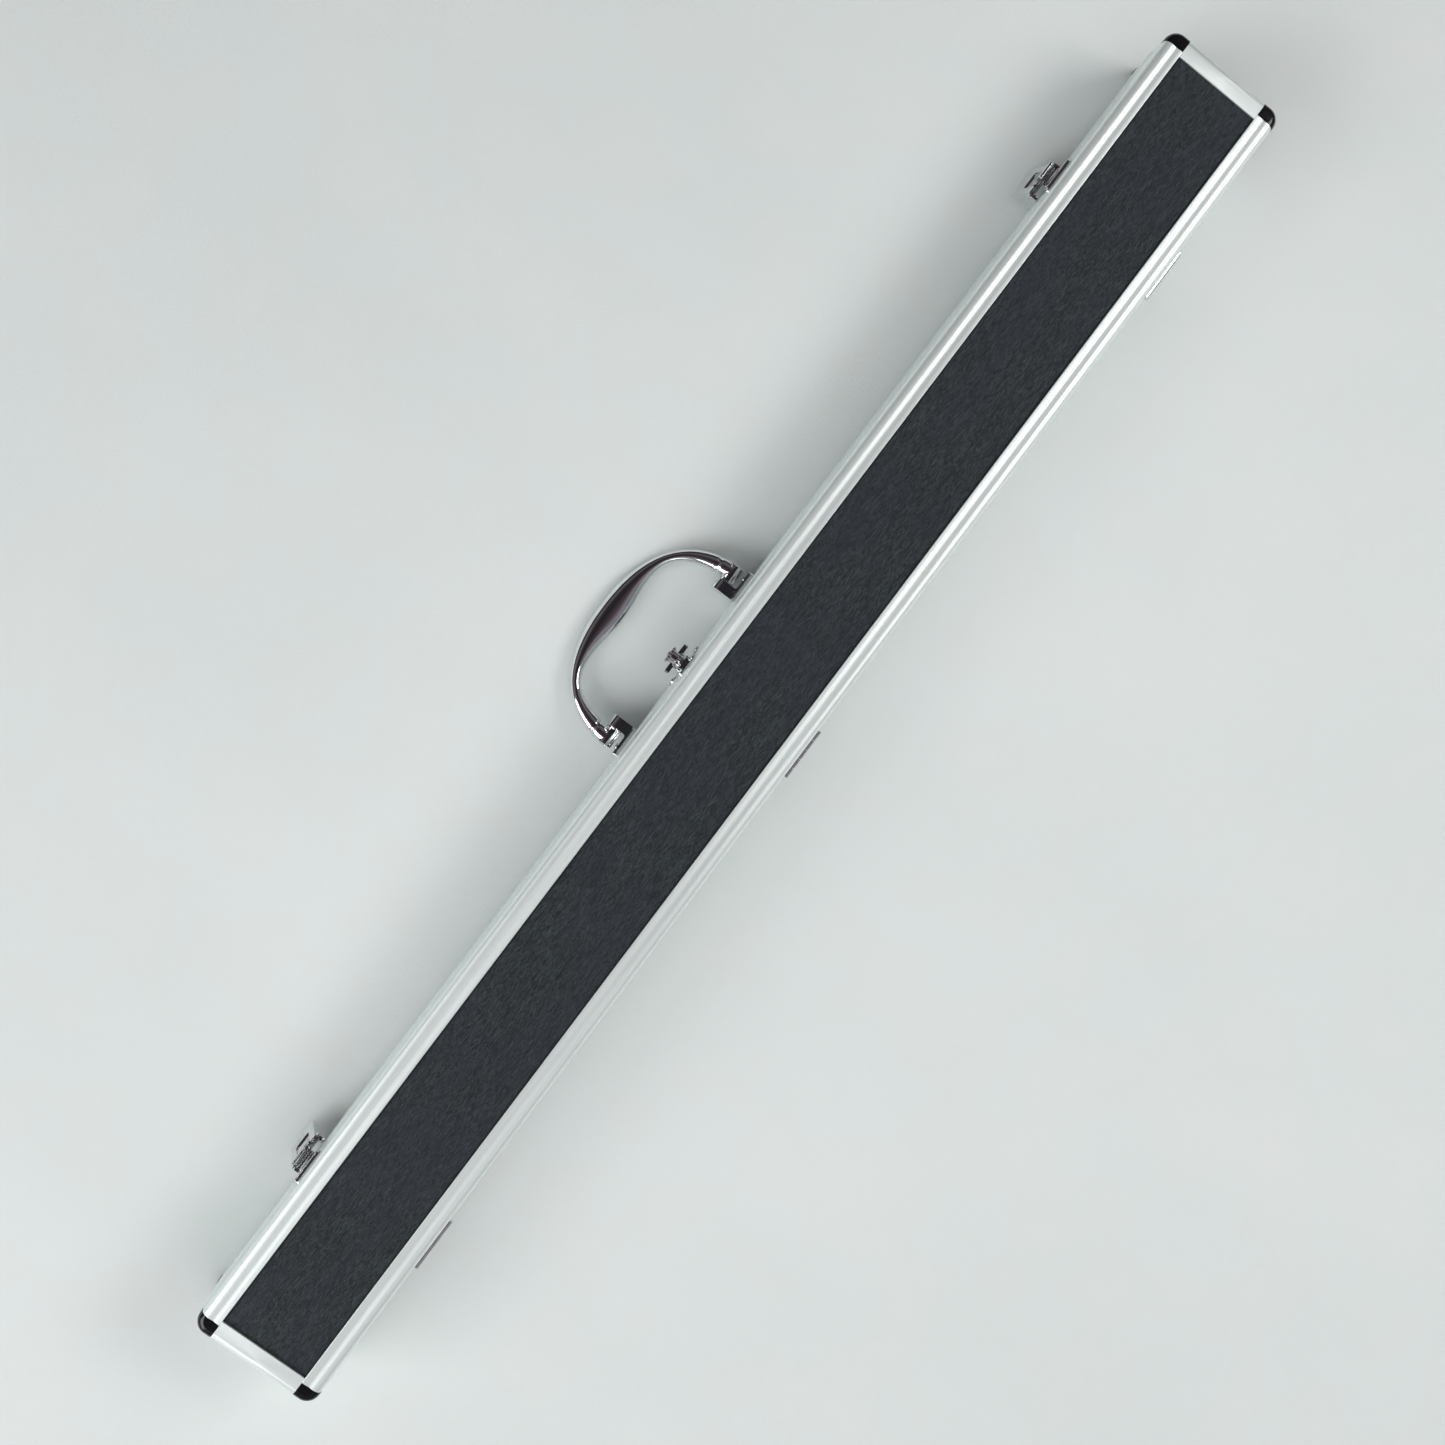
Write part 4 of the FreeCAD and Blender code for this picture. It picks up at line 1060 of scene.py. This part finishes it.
def make_lever(node, station, beyond):
    """The lever: a folded cover that slopes outwards to its finger end, slotted for the claw."""
    low, high = box_mm(node + "lever")
    half = (high.x - low.x) / 2
    toe, toe_up = stand_out(low), low.z
    toe_top = toe_up + 1.4
    wall = LEVER_WALL
    foot_out, slope_out = LEVER_OUT
    outer = side_outline([
        (foot_out, LEVER_FOOT, 0.8), (foot_out, 24.6, 1.0), (4.2, high.z, 0.8),
        (slope_out, high.z, 1.2), (toe, toe_top, 0.6), (toe, toe_up, 0.5),
        (toe - 2.4, toe_up, 0.5)])
    inner = side_outline([
        (foot_out - 1, LEVER_FOOT), (foot_out - 1, LEVER_INSIDE),
        (slope_out - wall, LEVER_INSIDE, 0.8), (toe - wall - 0.4, toe_top, 0.4),
        (toe - wall - 3, toe_top)])
    cover = prism("cover", "x", outer, station - half, station + half)
    hollow = prism("hollow", "x", inner, station - half + wall, station + half - wall)
    slot = front_slab("slot", station, SLOT_HALF, (SLOT_LOW, SLOT_HIGH), (0, toe + 1), (1.2, 0.2))
    lever_pin, radius = pin_axis(node + "lever_pin")
    bores = [x_bore(lever_pin, radius + PIN_PLAY, beyond),
             x_bore(*pin_axis(node + "claw_pin"), beyond)]
    thumb = cross_rod("thumb", (station - 4.2, station + 4.2), toe + 3.6, toe_up + 3.6,
                      THUMB_RADIUS)
    settle(solid(cover, [], [hollow, slot, *bores, thumb]), node + "lever", CHROME, ease=0.18)


SPINDLE = 2.5
CAM_FINGER = 2.2
KNOB_RADIUS = 4.6
KNOB_FLUTES = 12
FLUTE_DEEP = 0.55
WING = (5.2, 7.6)  # how far in front of the wall the wings start and end


def make_lock():
    """The middle lock: plate, housing, winged knob with its key slot, cam and strike."""
    low, high = box_mm("lock_plate")
    plate = front_slab("plate", 0, high.x, (low.z, high.z), (0, LOCK_PLATE_THICK),
                       ((high.z - low.z) / 2 - 0.4,) * 2)
    settle(plate, "lock_plate", CHROME, ease=0.25)

    low, high = box_mm("lock_housing")
    out = stand_out(low)
    housing = front_slab("housing", 0, high.x, (low.z, high.z), (LOCK_PLATE_THICK, out), (1.0, 1.0))
    bore = prism("bore", "y", circle((0, LOCK_UP), SPINDLE + PIN_PLAY), front(out + CUT_PAST),
                 front(LOCK_PLATE_THICK))
    settle(solid(housing, [], [bore]), "lock_housing", CHROME, ease=0.35)

    low, high = box_mm("lock_cam")
    cam_front = stand_out(low)
    levels = (low.y, high.y)
    disc = prism("disc", "y", circle((0, LOCK_UP), LOCK_UP - low.z), *levels)
    finger = prism("finger", "y", rounded([
        (-CAM_FINGER, LOCK_UP), (CAM_FINGER, LOCK_UP), (CAM_FINGER, high.z, 1.1),
        (-CAM_FINGER, high.z, 1.1)]), *levels)
    bore = prism("bore", "y", circle((0, LOCK_UP), SPINDLE), low.y - CUT_PAST, high.y + CUT_PAST)
    settle(solid(disc, [finger], [bore]), "lock_cam", STEEL, ease=0.15)

    low, high = box_mm("lock_knob")
    tip = stand_out(low)
    core = KNOB_RADIUS - 0.9
    profile = [(AXIS_RADIUS, 1.4), (SPINDLE, 1.4), (SPINDLE, cam_front), (core, cam_front),
               (core, tip - 0.4), (core - 0.4, tip), (2.9, tip), (2.7, tip - 0.3),
               (AXIS_RADIUS, tip - 0.3)]
    knob = lathe("knob", "y", (0, LOCK_UP), [(radius, front(out)) for radius, out in profile])
    collars = [prism("collar", "y", fluted((0, LOCK_UP), KNOB_RADIUS, FLUTE_DEEP, KNOB_FLUTES),
                     front(outer), front(inner))
               for inner, outer in ((cam_front, cam_front + 1.5), (tip - 1.9, tip - 0.3))]
    wing = front_slab("wing", 0, high.x, (LOCK_UP - 1.5, LOCK_UP + 1.5), WING, (1.4, 1.4))
    key = front_slab("key", 0, 0.6, (LOCK_UP - 2.6, LOCK_UP + 2.6), (tip - 1.2, tip + 1),
                     (0.3, 0.3))
    settle(solid(knob, [*collars, wing], [key]), "lock_knob", CHROME, ease=0.16)

    low, high = box_mm("lock_strike")
    strike = front_slab("strike", 0, high.x, (low.z, high.z), (0, PLATE_THICK), (0.4, 2.0))
    catch = front_slab("catch", 0, 3.5, (low.z, low.z + 2.2), (0.4, stand_out(low)), (0.3, 0.3))
    settle(solid(strike, [catch]), "lock_strike", CHROME, ease=0.18)


# ------------ studio
CAMERA_PLACE = (0.03937, -0.08562, 0.88207)
CAMERA_TURN = (-1.870, -5.478, 127.248)
CAMERA_LENS = 41.1
CAMERA_SENSOR = 36.0
FLOOR = 3000


def make_camera():
    """The camera, nearly straight above the case."""
    data = bpy.data.cameras.new("camera")
    data.lens = CAMERA_LENS
    data.sensor_width = CAMERA_SENSOR
    camera = link_object("camera", data)
    camera.location = CAMERA_PLACE
    camera.rotation_euler = [math.radians(angle) for angle in CAMERA_TURN]
    bpy.context.scene.camera = camera


def make_light(name, place, aim, size, power, colour):
    """A soft rectangular lamp that faces a point."""
    data = bpy.data.lights.new(name, "AREA")
    data.shape = "RECTANGLE"
    data.size, data.size_y = size
    data.energy = power
    data.color = colour
    light = link_object(name, data)
    light.location = place
    light.rotation_euler = (Vector(aim) - Vector(place)).to_track_quat("-Z", "Y").to_euler()
    return light


def make_studio():
    """Floor, lamps and the room that the bright metal mirrors. The lamp overhead lights the
    case, but the metal doesn't mirror it."""
    corners = [(-FLOOR, -FLOOR, 0), (FLOOR, -FLOOR, 0), (FLOOR, FLOOR, 0), (-FLOOR, FLOOR, 0)]
    floor = make_object("floor", corners, [(0, 1, 2, 3)])
    floor.data.materials.append(studio_cloth())

    make_light("near_left", (1.90, -1.02, 1.30), (0.2, 0, 0), (2.0, 1.3), 41, (0.99, 1, 1))
    make_light("right", (-1.05, 1.00, 1.36), (-0.1, 0, 0), (1.0, 0.8), 17, (1, 1, 0.985))
    ceiling = make_light("ceiling", (0.55, 0.30, 2.0), (0.1, 0, 0), (2.2, 2.2), 24, (0.99, 1, 1))
    ceiling.visible_glossy = False
    make_room()
    bpy.context.scene.view_settings.view_transform = "Standard"


ROOM_STOPS = ((0.0, (0.10, 0.10, 0.10)), (0.47, (0.11, 0.10, 0.10)), (0.52, (0.09, 0.065, 0.06)),
              (0.60, (0.30, 0.30, 0.31)), (0.66, (0.36, 0.37, 0.39)), (0.71, (0.10, 0.065, 0.06)),
              (0.80, (0.17, 0.165, 0.20)), (0.90, (0.06, 0.042, 0.042)),
              (1.0, (0.020, 0.019, 0.023)))
ROOM_BRIGHT_SIDE = (0.55, 0.80, 0.0)


def make_room():
    """The room that the bright metal mirrors, by height of gaze: dim walls, a pale band of
    ceiling, brighter on one side, and a dark patch overhead."""
    world = bpy.data.worlds.new("room")
    bpy.context.scene.world = world
    world.use_nodes = True
    nodes, link = world.node_tree.nodes, world.node_tree.links.new
    gaze = nodes.new("ShaderNodeTexCoord").outputs["Generated"]
    split = nodes.new("ShaderNodeSeparateXYZ")
    link(gaze, split.inputs[0])
    ramp = nodes.new("ShaderNodeValToRGB")
    elements = ramp.color_ramp.elements
    for index, (position, colour) in enumerate(ROOM_STOPS):
        element = elements[index] if index < 2 else elements.new(position)
        element.position = position
        element.color = (*colour, 1)
    link(split.outputs["Z"], ramp.inputs["Fac"])
    side = nodes.new("ShaderNodeVectorMath")
    side.operation = "DOT_PRODUCT"
    link(gaze, side.inputs[0])
    side.inputs[1].default_value = ROOM_BRIGHT_SIDE
    share = nodes.new("ShaderNodeMapRange")
    link(side.outputs["Value"], share.inputs["Value"])
    set_range(share, -0.8, 0.8, 0.35, 1.65)
    link(ramp.outputs["Color"], nodes["Background"].inputs["Color"])
    link(share.outputs["Result"], nodes["Background"].inputs["Strength"])


make_camera()
make_studio()
for half in HALVES:
    make_rails(half)
    make_corners(half)
    make_panels(half)
    make_foam(half)
    make_rivets(half)
for number in (1, 2, 3):
    make_hinge(number)
for name, sign in (("left", 1), ("right", -1)):
    make_bracket(name, sign)
    make_latch(name)
make_handle()
make_lock()
